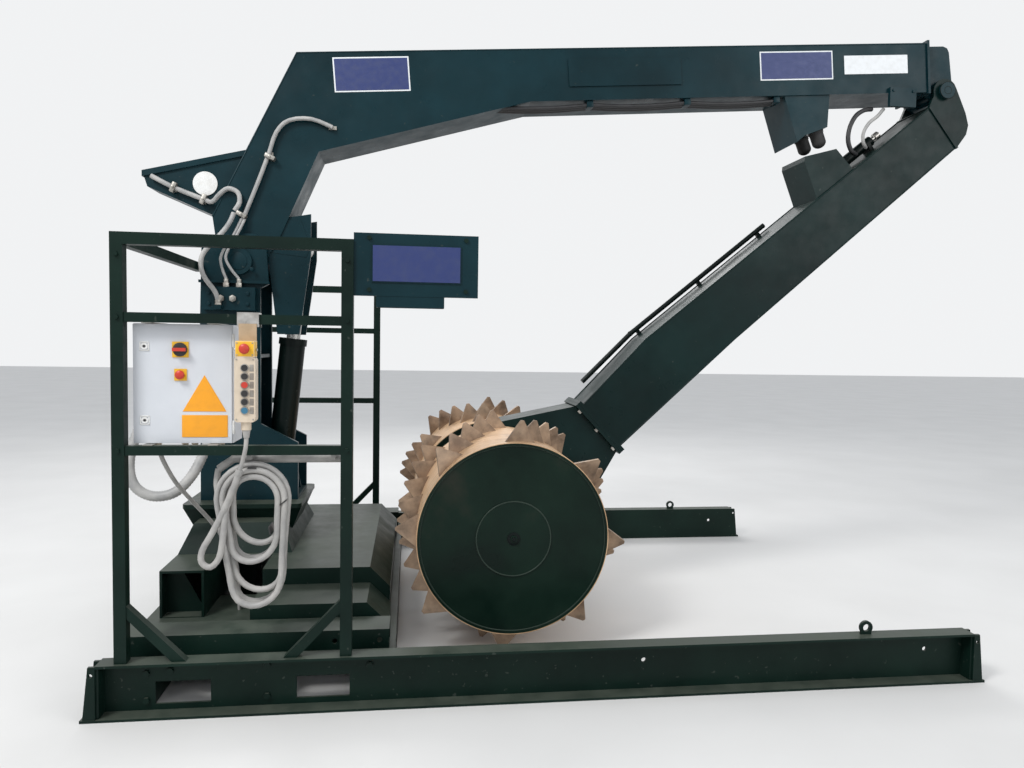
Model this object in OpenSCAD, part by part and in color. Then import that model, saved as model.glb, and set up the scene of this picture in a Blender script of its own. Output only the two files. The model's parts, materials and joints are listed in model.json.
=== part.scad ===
// Stationary waste compactor with a toothed drum on a folding boom.
// Millimetres. Origin on the ground under the column, X along the rails, Y to the rear, Z up.

/* [Base frame] */
// Length of each ground rail without its end shoes
rail_length = 4000; // [3600:4400]
// Distance of the rail's left end from the column axis
rail_start = 310; // [260:360]
// Height of the rail channel
rail_height = 240; // [200:280]
// Width of the rail's flanges
rail_flange = 90; // [75:110]
// Wall thickness of the rail channel
rail_wall = 11; // [8:14]
// Clear width between the two rails, where a container stands
lane_width = 2744; // [2600:2900]
// Width of the forklift pockets in the rail's web
pocket_width = 228; // [180:240]
// Height of the forklift pockets
pocket_height = 98; // [80:110]
// Side of the three box beams that join the rails
cross_beam = 180; // [150:190]
// Thickness of the foot plate under each end shoe
foot_plate = 12; // [8:16]
// Height of the boxes that stand on the beams under the pedestal
base_box_height = 247; // [230:260]

/* [Column] */
// Height of the pedestal's top plate above the ground
pedestal_top = 675; // [640:710]
// Length of the pedestal's top plate
pedestal_length = 652; // [620:700]
// Width of the pedestal's top plate
pedestal_width = 640; // [600:700]
// Height of the boom's pivot above the ground
pivot_height = 2050; // [2000:2100]
// Radius of the boom's pivot pin
pivot_pin = 45; // [35:50]
// Thickness of the two column cheeks
cheek = 25; // [18:30]

/* [Boom] */
// Width of the boom and of the dipper arm
arm_width = 320; // [300:340]
// Plate thickness of the boom and of the dipper arm
arm_wall = 10; // [8:14]
// Depth of the boom's box section
boom_depth = 306; // [290:320]
// Distance from the boom's rear top corner to its end plate
boom_length = 3912; // [3800:3950]
// Rise of the boom towards its head in degrees
boom_rise = 4.5; // [4:5]
// Height of the boom's rear top corner
boom_top = 3253; // [3240:3270]

/* [Dipper] */
// Radius of the hinge pin at the boom's head
hinge_pin = 38; // [30:42]
// Radius of the round ends of the hinge lobes
hinge_lobe = 80; // [70:90]
// Thickness of the dipper's hinge lobes
lobe_plate = 22; // [18:25]

/* [Drum] */
// Outer radius of the drum's shell
shell_radius = 494; // [470:510]
// Wall thickness of the drum's shell
shell_wall = 14; // [10:18]
// Length of each half of the drum
half_length = 795; // [750:810]
// Clear gap between the two halves
drum_gap = 300; // [290:320]
// Height of a tooth above the shell
tooth_height = 108; // [90:112]
// Length of a tooth along the shell
tooth_base = 175; // [150:190]
// Thickness of a tooth
tooth_plate = 12; // [10:14]
// Teeth in one ring
teeth_per_ring = 8; // [6:9]
// Rings of teeth on one half
rings = 5; // [4:5]
// Turn of a tooth out of the ring's plane in degrees
tooth_skew = 20; // [10:25]

/* [Guard and cabinet] */
// Side of the guard's square posts
post = 50; // [40:55]
// Side of the guard's lower rails
guard_bar = 40; // [35:45]
// Height of the guard's top above the ground
guard_top = 2035; // [1950:2080]
// Width of the guard over its posts
guard_width = 975; // [950:1000]
// Width of the control cabinet
cabinet_width = 400; // [380:410]
// Height of the control cabinet
cabinet_height = 504; // [460:540]
// Depth of the control cabinet
cabinet_depth = 175; // [150:200]
// Diameter of the pendant's cable
cable = 28; // [24:30]

/* [Hidden] */

green = [0.11, 0.21, 0.18];
dark_green = [0.07, 0.13, 0.11];
bare = [0.55, 0.42, 0.30];
steel = [0.72, 0.72, 0.70];
grey = [0.62, 0.64, 0.64];
black = [0.05, 0.05, 0.05];

half_lane = lane_width / 2;
pocket_x = [20, 609];
pocket_z = 36;
beam_x = [-292, 224, 740];
beam_top = foot_plate + cross_beam;
box_top = beam_top + base_box_height;
left_x0 = -260;
left_x1 = -46;
right_x0 = 240;
right_x1 = 882;
box_half = 790;
step_out = 1100;
rail_x0 = -rail_start;
rail_x1 = rail_x0 + rail_length;
rail_out = half_lane + rail_flange;
arm_half = arm_width / 2;

// Boom places, measured along and across the boom
boom_x0 = 315;
pivot = [0, pivot_height];
boom_dir = [cos(boom_rise), sin(boom_rise)];
boom_down = [sin(boom_rise), -cos(boom_rise)];
boom_rear = [boom_x0, boom_top];
boom_end = boom_rear + boom_length * boom_dir;
boom_end_low = boom_end + boom_depth * boom_down;
function on_boom(along, down) = boom_rear + along * boom_dir + down * boom_down;
hinge = on_boom(boom_length + 129, boom_depth - 4);

// Where the folded arm's upper stop starts, measured along the boom
stop_along = boom_length - 962;

// Dipper corners, measured from the hinge
dip_top = hinge + [-113, -117];
dip_low = hinge + [81, -357];
dip_bend_top = hinge + [-1944, -1621];
dip_bend_low = hinge + [-1371, -1612];
dip_end_top = hinge + [-2334, -2034];
dip_end_low = hinge + [-2094, -2283];
drum = hinge + [-2860, -2658];

// Drum places
tip_radius = shell_radius + tooth_height;
drum_in = drum_gap / 2;
drum_out = drum_in + half_length;
axle_radius = 90;
bearing_gap = 0.3;
carrier_half = drum_in - 18;

// Lift cylinder, from its foot to its eye on the boom's leg
lift_foot = [200, 900];
lift_eye = pivot + [330, 100];
lift_dir = (lift_eye - lift_foot) / norm(lift_eye - lift_foot);
lift_tilt = atan2(lift_dir[0], lift_dir[1]);
lift_length = norm(lift_eye - lift_foot);
lift_pin = 33.5;
barrel_length = 720;
barrel_radius = 74;
rod_radius = 40;

// Lock cylinder on the dipper's top face
lock_drop = 50;

// Guard and cabinet places
guard_y0 = -half_lane - 73;
guard_y1 = guard_y0 + post;
guard_x0 = -240;
guard_x1 = guard_x0 + guard_width;
rail3_z = 1117;
strap = 4;
cabinet_x0 = -172;
cabinet_x1 = cabinet_x0 + cabinet_width;
cabinet_z0 = rail3_z + guard_bar + strap;
cabinet_z1 = cabinet_z0 + cabinet_height;
rail2_z = cabinet_z1 + strap;
sign_z0 = 1799;
sign_z1 = 2065;
door_thick = 14;
door_front = guard_y1 + 3;
case_front = door_front + door_thick + 1;
case_back = case_front + cabinet_depth;
panel_wall = 3;

// Pendant places
pendant_x = 305;
pendant_y1 = guard_y0 - 12;
pendant_y0 = pendant_y1 - 58;
pendant_z0 = 1264;
pendant_z1 = 1532;
pendant_half = 42;

// Conduit and the cable's coil that hangs on it
conduit_y = -half_lane + 22;
conduit_z = 1089;
conduit_radius = 17;
hank_y1 = conduit_y - conduit_radius - 0.3;
hank_y0 = hank_y1 - 84;
coil_x = 320;
coil_top = conduit_z + 3;

module block(x0, x1, y0, y1, z0, z1) {
    translate([x0, y0, z0])
        cube([x1 - x0, y1 - y0, z1 - z0]);
}

// A plate with its outline in X and Z, from y0 to y1
module side_plate(points, y0, y1) {
    translate([0, y1, 0])
        rotate([90, 0, 0])
            linear_extrude(height = y1 - y0)
                polygon(points);
}

// A round bar across the machine
module bar_y(place, y0, y1, radius, sides = 32) {
    translate([place[0], y1, place[1]])
        rotate([90, 0, 0])
            cylinder(h = y1 - y0, r = radius, $fn = sides);
}

// The same thing on both sides of the middle plane
module both_sides() {
    children();
    mirror([0, 1, 0])
        children();
}

module hex_head(radius, height) {
    cylinder(h = height, r = radius, $fn = 6);
}

// A smooth curve through a list of points, with a few steps between each pair
function curve(p, steps) = [
    for (i = [0 : len(p) - 2], k = [0 : steps - 1])
        let (t = k / steps, a = p[max(i - 1, 0)], b = p[i], c = p[i + 1],
            d = p[min(i + 2, len(p) - 1)])
        0.5 * (2 * b + t * (c - a) + t * t * (2 * a - 5 * b + 4 * c - d)
            + t * t * t * (3 * b - a - 3 * c + d)),
    p[len(p) - 1]];

// One closed tube swept along a curve
module sweep(p, radius, sides = 10) {
    last = len(p) - 1;
    rings = [for (i = [0 : last])
        let (way = p[min(i + 1, last)] - p[max(i - 1, 0)], t = way / norm(way),
            raw = cross(t, [0.1, 1, 0.2]), u = raw / norm(raw), v = cross(t, u))
        for (k = [0 : sides - 1])
            p[i] + radius * (cos(360 * k / sides) * u + sin(360 * k / sides) * v)];
    walls = [for (i = [0 : last - 1], k = [0 : sides - 1])
        let (n = (k + 1) % sides)
        [i * sides + k, i * sides + n, (i + 1) * sides + n, (i + 1) * sides + k]];
    polyhedron(points = rings, faces = concat(walls, [[for (k = [sides - 1 : -1 : 0]) k]],
        [[for (k = [0 : sides - 1]) last * sides + k]]), convexity = 8);
}

// One channel rail with its flanges outwards and two forklift pockets
module rail() {
    color(green)
        difference() {
            block(rail_x0, rail_x1, -rail_out, -half_lane, 0, rail_height);
            block(rail_x0 - 1, rail_x1 + 1, -rail_out - 1, -half_lane - rail_wall,
                rail_wall, rail_height - rail_wall);
            for (x = pocket_x)
                block(x - pocket_width / 2, x + pocket_width / 2, -rail_out, -half_lane + 1,
                    pocket_z, pocket_z + pocket_height);
            for (x = [2066, 3485])
                bar_y([x, 145], -half_lane - rail_wall - 1, -half_lane + 1, 11, 24);
        }
    for (x = [rail_x0, rail_x1 - rail_wall])
        color(green)
            block(x, x + rail_wall, -rail_out + 12, -half_lane - rail_wall + 0.5,
                rail_wall - 0.5, rail_height - rail_wall + 0.5);
}

module rail_front() {
    rail();
}

module rail_rear() {
    mirror([0, 1, 0])
        rail();
}

// A shoe at a rail's end: two upright plates with a hole, on a foot plate
module shoe(sign) {
    face = sign < 0 ? rail_x0 : rail_x1;
    difference() {
        union() {
            for (y = [-rail_out + 2, -half_lane - 22])
                side_plate([[face, 0], [face, rail_height - 4], [face + sign * 28, rail_height - 4],
                    [face + sign * 52, 0]], y, y + 14);
            block(min(face, face + sign * 62), max(face, face + sign * 62), -rail_out, -half_lane,
                0, foot_plate);
        }
        bar_y([face + sign * 17, rail_height - 40], -rail_out - 1, -half_lane + 1, 8, 24);
    }
}

module end_shoes() {
    color(green)
        both_sides() {
            shoe(-1);
            shoe(1);
        }
}

module lifting_eyes() {
    color(green)
        both_sides()
            translate([3156, -half_lane - 35, rail_height + 32.3])
                    rotate([90, 0, 0])
                        difference() {
                            union() {
                                cylinder(h = 14, r = 32, center = true, $fn = 32);
                                translate([-26, -32, -7])
                                    cube([52, 26, 14]);
                            }
                            cylinder(h = 20, r = 17, center = true, $fn = 32);
                        }
}

// Bolt heads of the base, the guard and the sign, one kind in two sizes
module frame_bolts() {
    color(dark_green)
        both_sides()
            for (place = [[-131, 53], [-131, 171], [-33, 180], [370, 52], [370, 190],
                [811, 173]])
                translate([place[0], -half_lane - rail_wall, place[1]])
                    rotate([90, 0, 0])
                        hex_head(15, 11);
    color(steel)
        both_sides()
            for (x = [guard_x0 + post / 2, guard_x1 - post / 2],
                 z = [rail3_z + 20, rail2_z + 20, guard_top - 90])
                translate([x, guard_y0, z])
                    rotate([90, 0, 0])
                        hex_head(10, 8);
    color(steel)
        for (x = [guard_x1 + 65, guard_x1 + 477], z = [sign_z0 + 26, sign_z1 - 21])
            translate([x, guard_y0 + 10, z])
                rotate([90, 0, 0])
                    hex_head(10, 7);
}

module cross_beams() {
    color(dark_green)
        for (x = beam_x)
            difference() {
                block(x, x + cross_beam, -half_lane, half_lane, foot_plate, beam_top);
                block(x + 8, x + cross_beam - 8, -half_lane - 1, half_lane + 1, foot_plate + 8,
                    beam_top - 8);
            }
}

// The box that carries the pedestal, open at its left bay, with a toe and gusset on each side
module base_box() {
    wall = 12;
    color(green) {
        // Left box across the machine, open at both ends, with a slanted plate inside
        difference() {
            block(left_x0, left_x1, -box_half, box_half, beam_top, box_top);
            block(left_x0 + wall, left_x1 - wall, -box_half - 1, box_half + 1,
                beam_top + wall, box_top - wall);
        }
        both_sides()
            side_plate([[left_x0 + 11, box_top - 11], [left_x0 + 85, box_top - 11],
                [left_x1 - 11, beam_top + 11], [left_x0 + 11, beam_top + 11]],
                -box_half + 80, -box_half + 92);
        // Right box with a sloping end towards the drum
        difference() {
            side_plate([[right_x0, beam_top], [right_x1, beam_top], [right_x1, box_top - 105],
                [right_x1 - 103, box_top], [right_x0, box_top]], -box_half, box_half);
            side_plate([[right_x0 + wall, beam_top - 1], [right_x1 - wall, beam_top - 1],
                [right_x1 - wall, box_top - 110], [right_x1 - 108, box_top - wall],
                [right_x0 + wall, box_top - wall]], -box_half + wall, box_half - wall);
        }
        both_sides() {
            // Lower box in front of the right one, with the same slope
            difference() {
                side_plate([[right_x0, beam_top], [right_x1 + 4, beam_top],
                    [right_x1 + 4, box_top - 185], [right_x1 - 102, box_top - 82],
                    [right_x0, box_top - 82]], -step_out, -box_half + 0.5);
                side_plate([[right_x0 + wall, beam_top - 1], [right_x1 + 4 - wall, beam_top - 1],
                    [right_x1 + 4 - wall, box_top - 190], [right_x1 - 107, box_top - 82 - wall],
                    [right_x0 + wall, box_top - 82 - wall]], -step_out + wall, -box_half - 0.5);
            }
            // Deck plate beside the boxes
            block(left_x0 - 60, right_x0 + 1, -step_out - 20, -450, beam_top, beam_top + 8);
        }
        // Plate between the boxes, and the foot under the column
        block(left_x0, right_x0 + 1, -500, 500, box_top - wall, box_top);
        block(-70, 70, -90, 90, foot_plate - 1, box_top - wall + 1);
        block(-90, 90, -150, 150, 0, foot_plate);
    }
}

// Box beams that lie on the cross beams beside each rail
module side_beams() {
    color(green)
        both_sides()
            difference() {
                block(-290, 893, -half_lane + 72, -half_lane + 242, beam_top, beam_top + 108);
                block(-291, 894, -half_lane + 80, -half_lane + 234, beam_top + 8,
                    beam_top + 100);
                for (x = [650, 850])
                    bar_y([x, beam_top + 60], -half_lane + 71, -half_lane + 81, 12, 24);
            }
}

// A block that narrows upwards, wider than the top plate by grow at its foot
module flare(x_low, y_low, z_low, x_high, y_high, z_high) {
    hull() {
        block(40 - x_low, 40 + x_low, -y_low, y_low, z_low, z_low + 1);
        block(40 - x_high, 40 + x_high, -y_high, y_high, z_high - 1, z_high);
    }
}

// The pedestal's spreading foot and the neck that widens up to its plate
module pedestal_form(wall, cut) {
    half_x = pedestal_length / 2 - wall;
    half_y = pedestal_width / 2 - wall;
    foot_high = box_top + 0.64 * (pedestal_top - box_top);
    flare(300 - wall, 480 - wall, box_top - cut, 237 - wall, 400 - wall, foot_high - wall);
    flare(half_x - 79, half_y - 90, box_top + 31, half_x - 4, half_y - 20,
        pedestal_top - 24 + cut);
}

module pedestal() {
    half_x = pedestal_length / 2;
    half_y = pedestal_width / 2;
    color(green) {
        difference() {
            pedestal_form(0, 0);
            pedestal_form(12, 1);
        }
        translate([40, 0, pedestal_top - 24])
            linear_extrude(height = 24)
                offset(r = 30, $fn = 32)
                    square([2 * half_x - 60, 2 * half_y - 60], center = true);
    }
}

cheek_in = arm_half + 8;
cheek_out = cheek_in + cheek;

// Two tall cheeks with the boom's pivot bores, tied by back and top plates
module column() {
    color(green)
        difference() {
            union() {
                both_sides()
                    side_plate([[-215, pedestal_top], [330, pedestal_top], [330, 1010],
                        [118, 1120], [118, 1900], [165, 1925], [150, 2150], [90, 2210],
                        [-90, 2210], [-205, 2120], [-215, 1700]], -cheek_out, -cheek_in);
                block(-215, -195, -cheek_in - 1, cheek_in + 1, pedestal_top, 1740);
                block(-195, 110, -cheek_in - 1, cheek_in + 1, 1500, 1520);
                block(-195, 330, -cheek_in - 1, cheek_in + 1, pedestal_top, pedestal_top + 20);
                both_sides()
                    block(-215, 170, -cheek_out - 30, -cheek_out + 1, 1925, 1940);
                both_sides()
                    side_plate([[90, pedestal_top + 19], [310, pedestal_top + 19],
                        [lift_foot[0] + 60, lift_foot[1] + 60],
                        [lift_foot[0] - 60, lift_foot[1] + 60]], -105, -85);
            }
            bar_y(pivot, -cheek_out - 1, cheek_out + 1, pivot_pin, 40);
            bar_y(lift_foot, -110, 110, lift_pin + 0.3, 32);
        }
    color(dark_green)
        both_sides()
            block(-190, 100, -cheek_out - 60, -cheek_out + 1, 1770, 1900);
    // Elbow block from which the loop hose rises
    color(dark_green)
        block(-113, -77, -cheek_out - 97, -cheek_out - 59, 1773, 1797);
}

module boom_pin() {
    color(steel)
        bar_y(pivot, -cheek_out - 12, cheek_out + 12, pivot_pin, 40);
    color(dark_green)
        both_sides()
            bar_y(pivot, -cheek_out - 24, -cheek_out - 10, pivot_pin + 30, 40);
}

// The hydraulic lift cylinder leans from its foot to the boom's leg
module along_lift() {
    translate([lift_foot[0], 0, lift_foot[1]])
        rotate([0, lift_tilt, 0])
            children();
}

module lift_barrel() {
    color(black)
        along_lift()
            difference() {
                union() {
                    translate([0, 0, 60])
                        cylinder(h = barrel_length - 60, r = barrel_radius, $fn = 36);
                    translate([0, 40, 0])
                        rotate([90, 0, 0])
                            cylinder(h = 80, r = 62, $fn = 36);
                    translate([-45, -40, 0])
                        cube([90, 80, 70]);
                }
                translate([0, 0, 120])
                    cylinder(h = barrel_length, r = rod_radius + 1, $fn = 36);
            }
    color(steel)
        along_lift()
            translate([0, 0, barrel_length - 40])
                difference() {
                    cylinder(h = 40, r = barrel_radius + 8, $fn = 36);
                    translate([0, 0, -1])
                        cylinder(h = 42, r = rod_radius + 1, $fn = 36);
                }
    color(steel)
        bar_y(lift_foot, -104, 104, lift_pin, 32);
}

module lift_rod() {
    color(steel)
        along_lift() {
            translate([0, 0, 330])
                cylinder(h = lift_length - 330 - 40, r = rod_radius, $fn = 36);
            translate([0, 44, lift_length])
                rotate([90, 0, 0])
                    cylinder(h = 88, r = 58, $fn = 36);
            translate([0, 78, lift_length])
                rotate([90, 0, 0])
                    cylinder(h = 156, r = 30, $fn = 36);
        }
}

// The front and rear guard share this frame
module guard() {
    z0 = rail_height;
    color(green) {
        for (x = [guard_x0, guard_x1 - post])
            block(x, x + post, guard_y0, guard_y1, z0, guard_top);
        block(guard_x0 + post, guard_x1 - post, guard_y0, guard_y1, guard_top - post, guard_top);
        for (z = [rail2_z, rail3_z])
            block(guard_x0 + post - 0.5, guard_x1 - post + 0.5, guard_y0 + 4, guard_y1 - 4,
                z, z + guard_bar);
        side_plate([[guard_x0 + post - 0.5, 484], [guard_x0 + post - 0.5, 430],
            [-10, z0], [48, z0]], guard_y0 + 4, guard_y1 - 4);
        side_plate([[guard_x1 - post + 0.5, 484], [guard_x1 - post + 0.5, 430],
            [guard_x1 - 230, z0], [guard_x1 - 288, z0]], guard_y0 + 4, guard_y1 - 4);
    }
    color(green)
        block(guard_x0 + 5, guard_x0 + post - 5, guard_y1 - 0.5, -cheek_out - 100,
            guard_top - post, guard_top - 4);
}

module guard_front() {
    guard();
    color(green)
        block(guard_x0 + 5, -195, -cheek_out - 120, -cheek_out, guard_top - post, guard_top - 4);
}

module guard_rear() {
    mirror([0, 1, 0])
        guard_front();
}

// A folded sheet on the guard's side, its face turned to the operator
module sign_board() {
    x0 = guard_x1;
    color(dark_green)
        difference() {
            block(x0, x0 + 530, guard_y0 + 10, guard_y0 + 34, sign_z0, sign_z1);
            block(x0 + 3, x0 + 527, guard_y0 + 13, guard_y0 + 36, sign_z0 + 3, sign_z1 - 3);
        }
    color(dark_green)
        block(x0 + 75, x0 + 457, guard_y0 + 6, guard_y0 + 10.5, 1856, 2018);
    color(black)
        difference() {
            block(x0 + 95, x0 + 385, guard_y0 + 12, guard_y0 + 86, sign_z0 - 47, sign_z0 + 0.5);
            block(x0 + 99, x0 + 381, guard_y0 + 16, guard_y0 + 82, sign_z0 - 48, sign_z0 - 4);
        }
}

module cabinet_case() {
    color(grey)
        difference() {
            block(cabinet_x0, cabinet_x1, case_front, case_back, cabinet_z0, cabinet_z1);
            block(cabinet_x0 + panel_wall, cabinet_x1 - panel_wall, case_front - 1,
                case_back - panel_wall, cabinet_z0 + panel_wall, cabinet_z1 - panel_wall);
        }
    color(steel)
        block(cabinet_x0 + 40, cabinet_x1 - 40, case_back - panel_wall - 12,
            case_back - panel_wall + 0.5, cabinet_z0 + 40, cabinet_z1 - 40);
}

module cabinet_brackets() {
    color(steel)
        for (x = [cabinet_x0 + 50, cabinet_x1 - 90], z = [cabinet_z1, cabinet_z0 - strap])
            block(x, x + 40, guard_y0 + 10, case_back - 20, z, z + strap);
}

module cabinet_door() {
    edge = 2;
    color(grey) {
        difference() {
            block(cabinet_x0 + edge, cabinet_x1 - edge, door_front, case_front - 1,
                cabinet_z0 + edge, cabinet_z1 - edge);
            block(cabinet_x0 + 20, cabinet_x1 - 20, door_front + 3, case_front,
                cabinet_z0 + 20, cabinet_z1 - 20);
            for (z = [cabinet_z1 - 95, cabinet_z1 - 405])
                bar_y([cabinet_x0 + 48, z], door_front - 1, case_front, 9.5, 24);
            bar_y([20, cabinet_z1 - 107], door_front - 1, case_front, 12.5, 24);
            bar_y([20, cabinet_z1 - 213], door_front - 1, case_front, 12.5, 24);
        }
    }
}

// A quarter-turn latch with a slotted face
module latch(z) {
    color(black)
        translate([cabinet_x0 + 48, door_front, z])
            rotate([90, 0, 0])
                difference() {
                    union() {
                        cylinder(h = 5, r = 14, $fn = 32);
                        translate([0, 0, -12])
                            cylinder(h = 13, r = 9, $fn = 32);
                    }
                    translate([-9, -1.5, 2.5])
                        cube([18, 3, 3]);
                }
}

module latch_upper() {
    latch(cabinet_z1 - 95);
}

module latch_lower() {
    latch(cabinet_z1 - 405);
}

module switch_plates() {
    color([0.85, 0.7, 0.1]) {
        difference() {
            block(20 - 33, 20 + 33, door_front - 4, door_front - 0.2, cabinet_z1 - 140,
                cabinet_z1 - 74);
            bar_y([20, cabinet_z1 - 107], door_front - 5, door_front, 12.5, 24);
        }
        difference() {
            block(20 - 25, 20 + 25, door_front - 4, door_front - 0.2, cabinet_z1 - 238,
                cabinet_z1 - 188);
            bar_y([20, cabinet_z1 - 213], door_front - 5, door_front, 12.5, 24);
        }
    }
}

module isolator_knob() {
    color([0.7, 0.05, 0.05])
        translate([20, door_front - 4.5, cabinet_z1 - 107])
            rotate([90, 0, 0])
                union() {
                    cylinder(h = 8, r = 27, $fn = 40);
                    translate([-26, -7, 7])
                        cube([52, 14, 20]);
                    translate([0, 0, -14])
                        cylinder(h = 15, r = 12, $fn = 32);
                }
}

module mushroom(radius) {
    translate([0, 0, 14])
        scale([1, 1, 0.5])
            intersection() {
                sphere(r = radius, $fn = 36);
                translate([0, 0, radius])
                    cube(2 * radius, center = true);
            }
    translate([0, 0, 9])
        cylinder(h = 5.5, r = radius, $fn = 36);
}

module estop_button() {
    color([0.7, 0.05, 0.05])
        translate([20, door_front - 4, cabinet_z1 - 213])
            rotate([90, 0, 0])
                union() {
                    mushroom(19);
                    translate([0, 0, -14])
                        cylinder(h = 24, r = 12, $fn = 32);
                }
}

// A folded strip over the guard's second rail, with a strap down to the pendant
module pendant_hook() {
    z = rail2_z + guard_bar;
    color(steel)
        difference() {
            block(pendant_x - 44, pendant_x + 44, guard_y0 - 6, guard_y1 + 2, z - 52, z + 8);
            block(pendant_x - 45, pendant_x + 45, guard_y0 + 3.5, guard_y1 - 3.5, z - 53, z + 0.4);
        }
}

module pendant_strap() {
    color([0.62, 0.5, 0.36])
        block(pendant_x - 36, pendant_x + 36, guard_y0 - 12, guard_y0 - 6, 1556,
            rail2_z + 1);
}

module pendant_body() {
    depth = pendant_y1 - pendant_y0;
    color([0.12, 0.13, 0.13])
        difference() {
            translate([pendant_x, pendant_y1, 0])
                rotate([90, 0, 0])
                    linear_extrude(height = depth)
                        translate([0, (pendant_z0 + pendant_z1) / 2])
                            offset(r = 14, $fn = 32)
                                square([2 * pendant_half - 28, pendant_z1 - pendant_z0 - 28],
                                    center = true);
            for (i = [0 : 5])
                bar_y([pendant_x, pendant_z1 - 44 - i * 35], pendant_y0 - 1, pendant_y0 + 14,
                    13.5, 28);
        }
    color([0.85, 0.7, 0.1])
        difference() {
            block(pendant_x - 38, pendant_x + 38, pendant_y0, pendant_y1, pendant_z1 - 0.5,
                pendant_z1 + 66);
            bar_y([pendant_x, pendant_z1 + 34], pendant_y0 - 1, pendant_y0 + 22, 12.5, 24);
        }
    color(black)
        translate([pendant_x, (pendant_y0 + pendant_y1) / 2, pendant_z0 - 34])
            cylinder(h = 35, r = 20, $fn = 28);
}

module pendant_estop() {
    color([0.7, 0.05, 0.05])
        translate([pendant_x, pendant_y0, pendant_z1 + 34])
            rotate([90, 0, 0])
                union() {
                    mushroom(21);
                    translate([0, 0, -12])
                        cylinder(h = 22, r = 12, $fn = 32);
                }
}

module pendant_button(i) {
    color(i == 2 ? [0.7, 0.05, 0.05] : [0.1, 0.35, 0.5])
        translate([pendant_x, pendant_y0 + 6, pendant_z1 - 44 - i * 35])
            rotate([90, 0, 0])
                cylinder(h = 13, r = 13, $fn = 32);
}

module button_1() {
    pendant_button(0);
}

module button_2() {
    pendant_button(1);
}

module button_3() {
    pendant_button(2);
}

module button_4() {
    pendant_button(3);
}

module button_5() {
    pendant_button(4);
}

module button_6() {
    pendant_button(5);
}

module conduit() {
    x0 = 225;
    x1 = guard_x1 - 35;
    color(grey) {
        translate([x0, conduit_y, conduit_z])
            rotate([0, 90, 0])
                cylinder(h = x1 - x0, r = conduit_radius, $fn = 28);
        translate([x0, conduit_y, conduit_z])
            sphere(r = conduit_radius, $fn = 28);
        translate([x0, conduit_y, conduit_z])
            rotate([0, -125, 0])
                cylinder(h = 75, r = conduit_radius, $fn = 28);
    }
    color(green)
        for (x = [290, 640])
            block(x, x + 20, guard_y1 - 3.7, conduit_y - conduit_radius + 8, conduit_z + 4,
                rail3_z + 12);
    color(green)
        for (x = [290, 640])
            block(x, x + 20, guard_y1 - 12, guard_y1 - 3, conduit_z + 4, rail3_z - 0.3);
}

// The cable from the pendant: down, a turn at the left and up to the hank
lead_y = hank_y0 - cable / 2 - 0.3;
lead = [[305, pendant_y1 - 29, pendant_z0 - 34.5], [305, pendant_y1 - 29, 1195],
    [301, pendant_y1 - 28, 1150],
    [285, lead_y - 6, 1090], [255, lead_y - 4, 1000], [210, lead_y - 2, 890],
    [160, lead_y, 790], [122, lead_y, 720], [120, lead_y, 670], [155, lead_y, 650],
    [190, lead_y, 690], [205, lead_y, 770], [212, lead_y, 850]];

module cable_lead() {
    color(grey)
        sweep(curve(lead, 3), cable / 2, 10);
}

// The hank of hanging turns, as one solid of their outer shape
module cable_hank() {
    color(grey)
        translate([0, hank_y1, 0])
            rotate([90, 0, 0])
                linear_extrude(height = hank_y1 - hank_y0)
                    hank_outline();
}

module hank_outline() {
    hull() {
        translate([coil_x, coil_top - 165])
            circle(r = 165, $fn = 40);
        translate([coil_x + 20, 510])
            circle(r = 118, $fn = 40);
    }
}

// A free loop from the column's valve block up to the boom's hose
loop_y = -cheek_out - 79;
loop = [[-95, loop_y, 1801.5], [-98, loop_y - 2, 1832.5], [-106, loop_y - 8, 1861.5],
    [-120, loop_y - 18, 1888], [-136, loop_y - 31, 1911], [-151, loop_y - 44, 1936],
    [-163, loop_y - 55, 1963], [-170, loop_y - 63, 1992], [-171, loop_y - 67, 2022],
    [-166, loop_y - 66, 2055], [-152, loop_y - 60, 2087], [-131, loop_y - 49, 2117],
    [-108, loop_y - 34, 2147], [-85, loop_y - 17, 2180], [-63, loop_y + 2, 2214],
    [-44, loop_y + 21, 2249], [-31, loop_y + 38, 2284], [-22, loop_y + 51, 2318]];

module loop_hose() {
    color(grey)
        sweep(curve(loop, 3), 13.5, 10);
}

boom_low = on_boom(176, boom_depth);
leg_in_top = [440, 2698];
leg_in = [225, 2208];
leg_out = [-152, 2303];
function leg_face(z) = [boom_x0 - (boom_top - z) * (boom_x0 - leg_out[0])
    / (boom_top - leg_out[1]), z];
knee_end = on_boom(1340, boom_depth);

// Side view of the boom with its leg and the tapered web at the knee
module boom_outline() {
    polygon(concat([boom_rear, boom_end, boom_end_low, knee_end, leg_in_top, leg_in],
        [for (a = [-20 : -20 : -160]) pivot + 118 * [cos(a), sin(a)]], [leg_out]));
}

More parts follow.
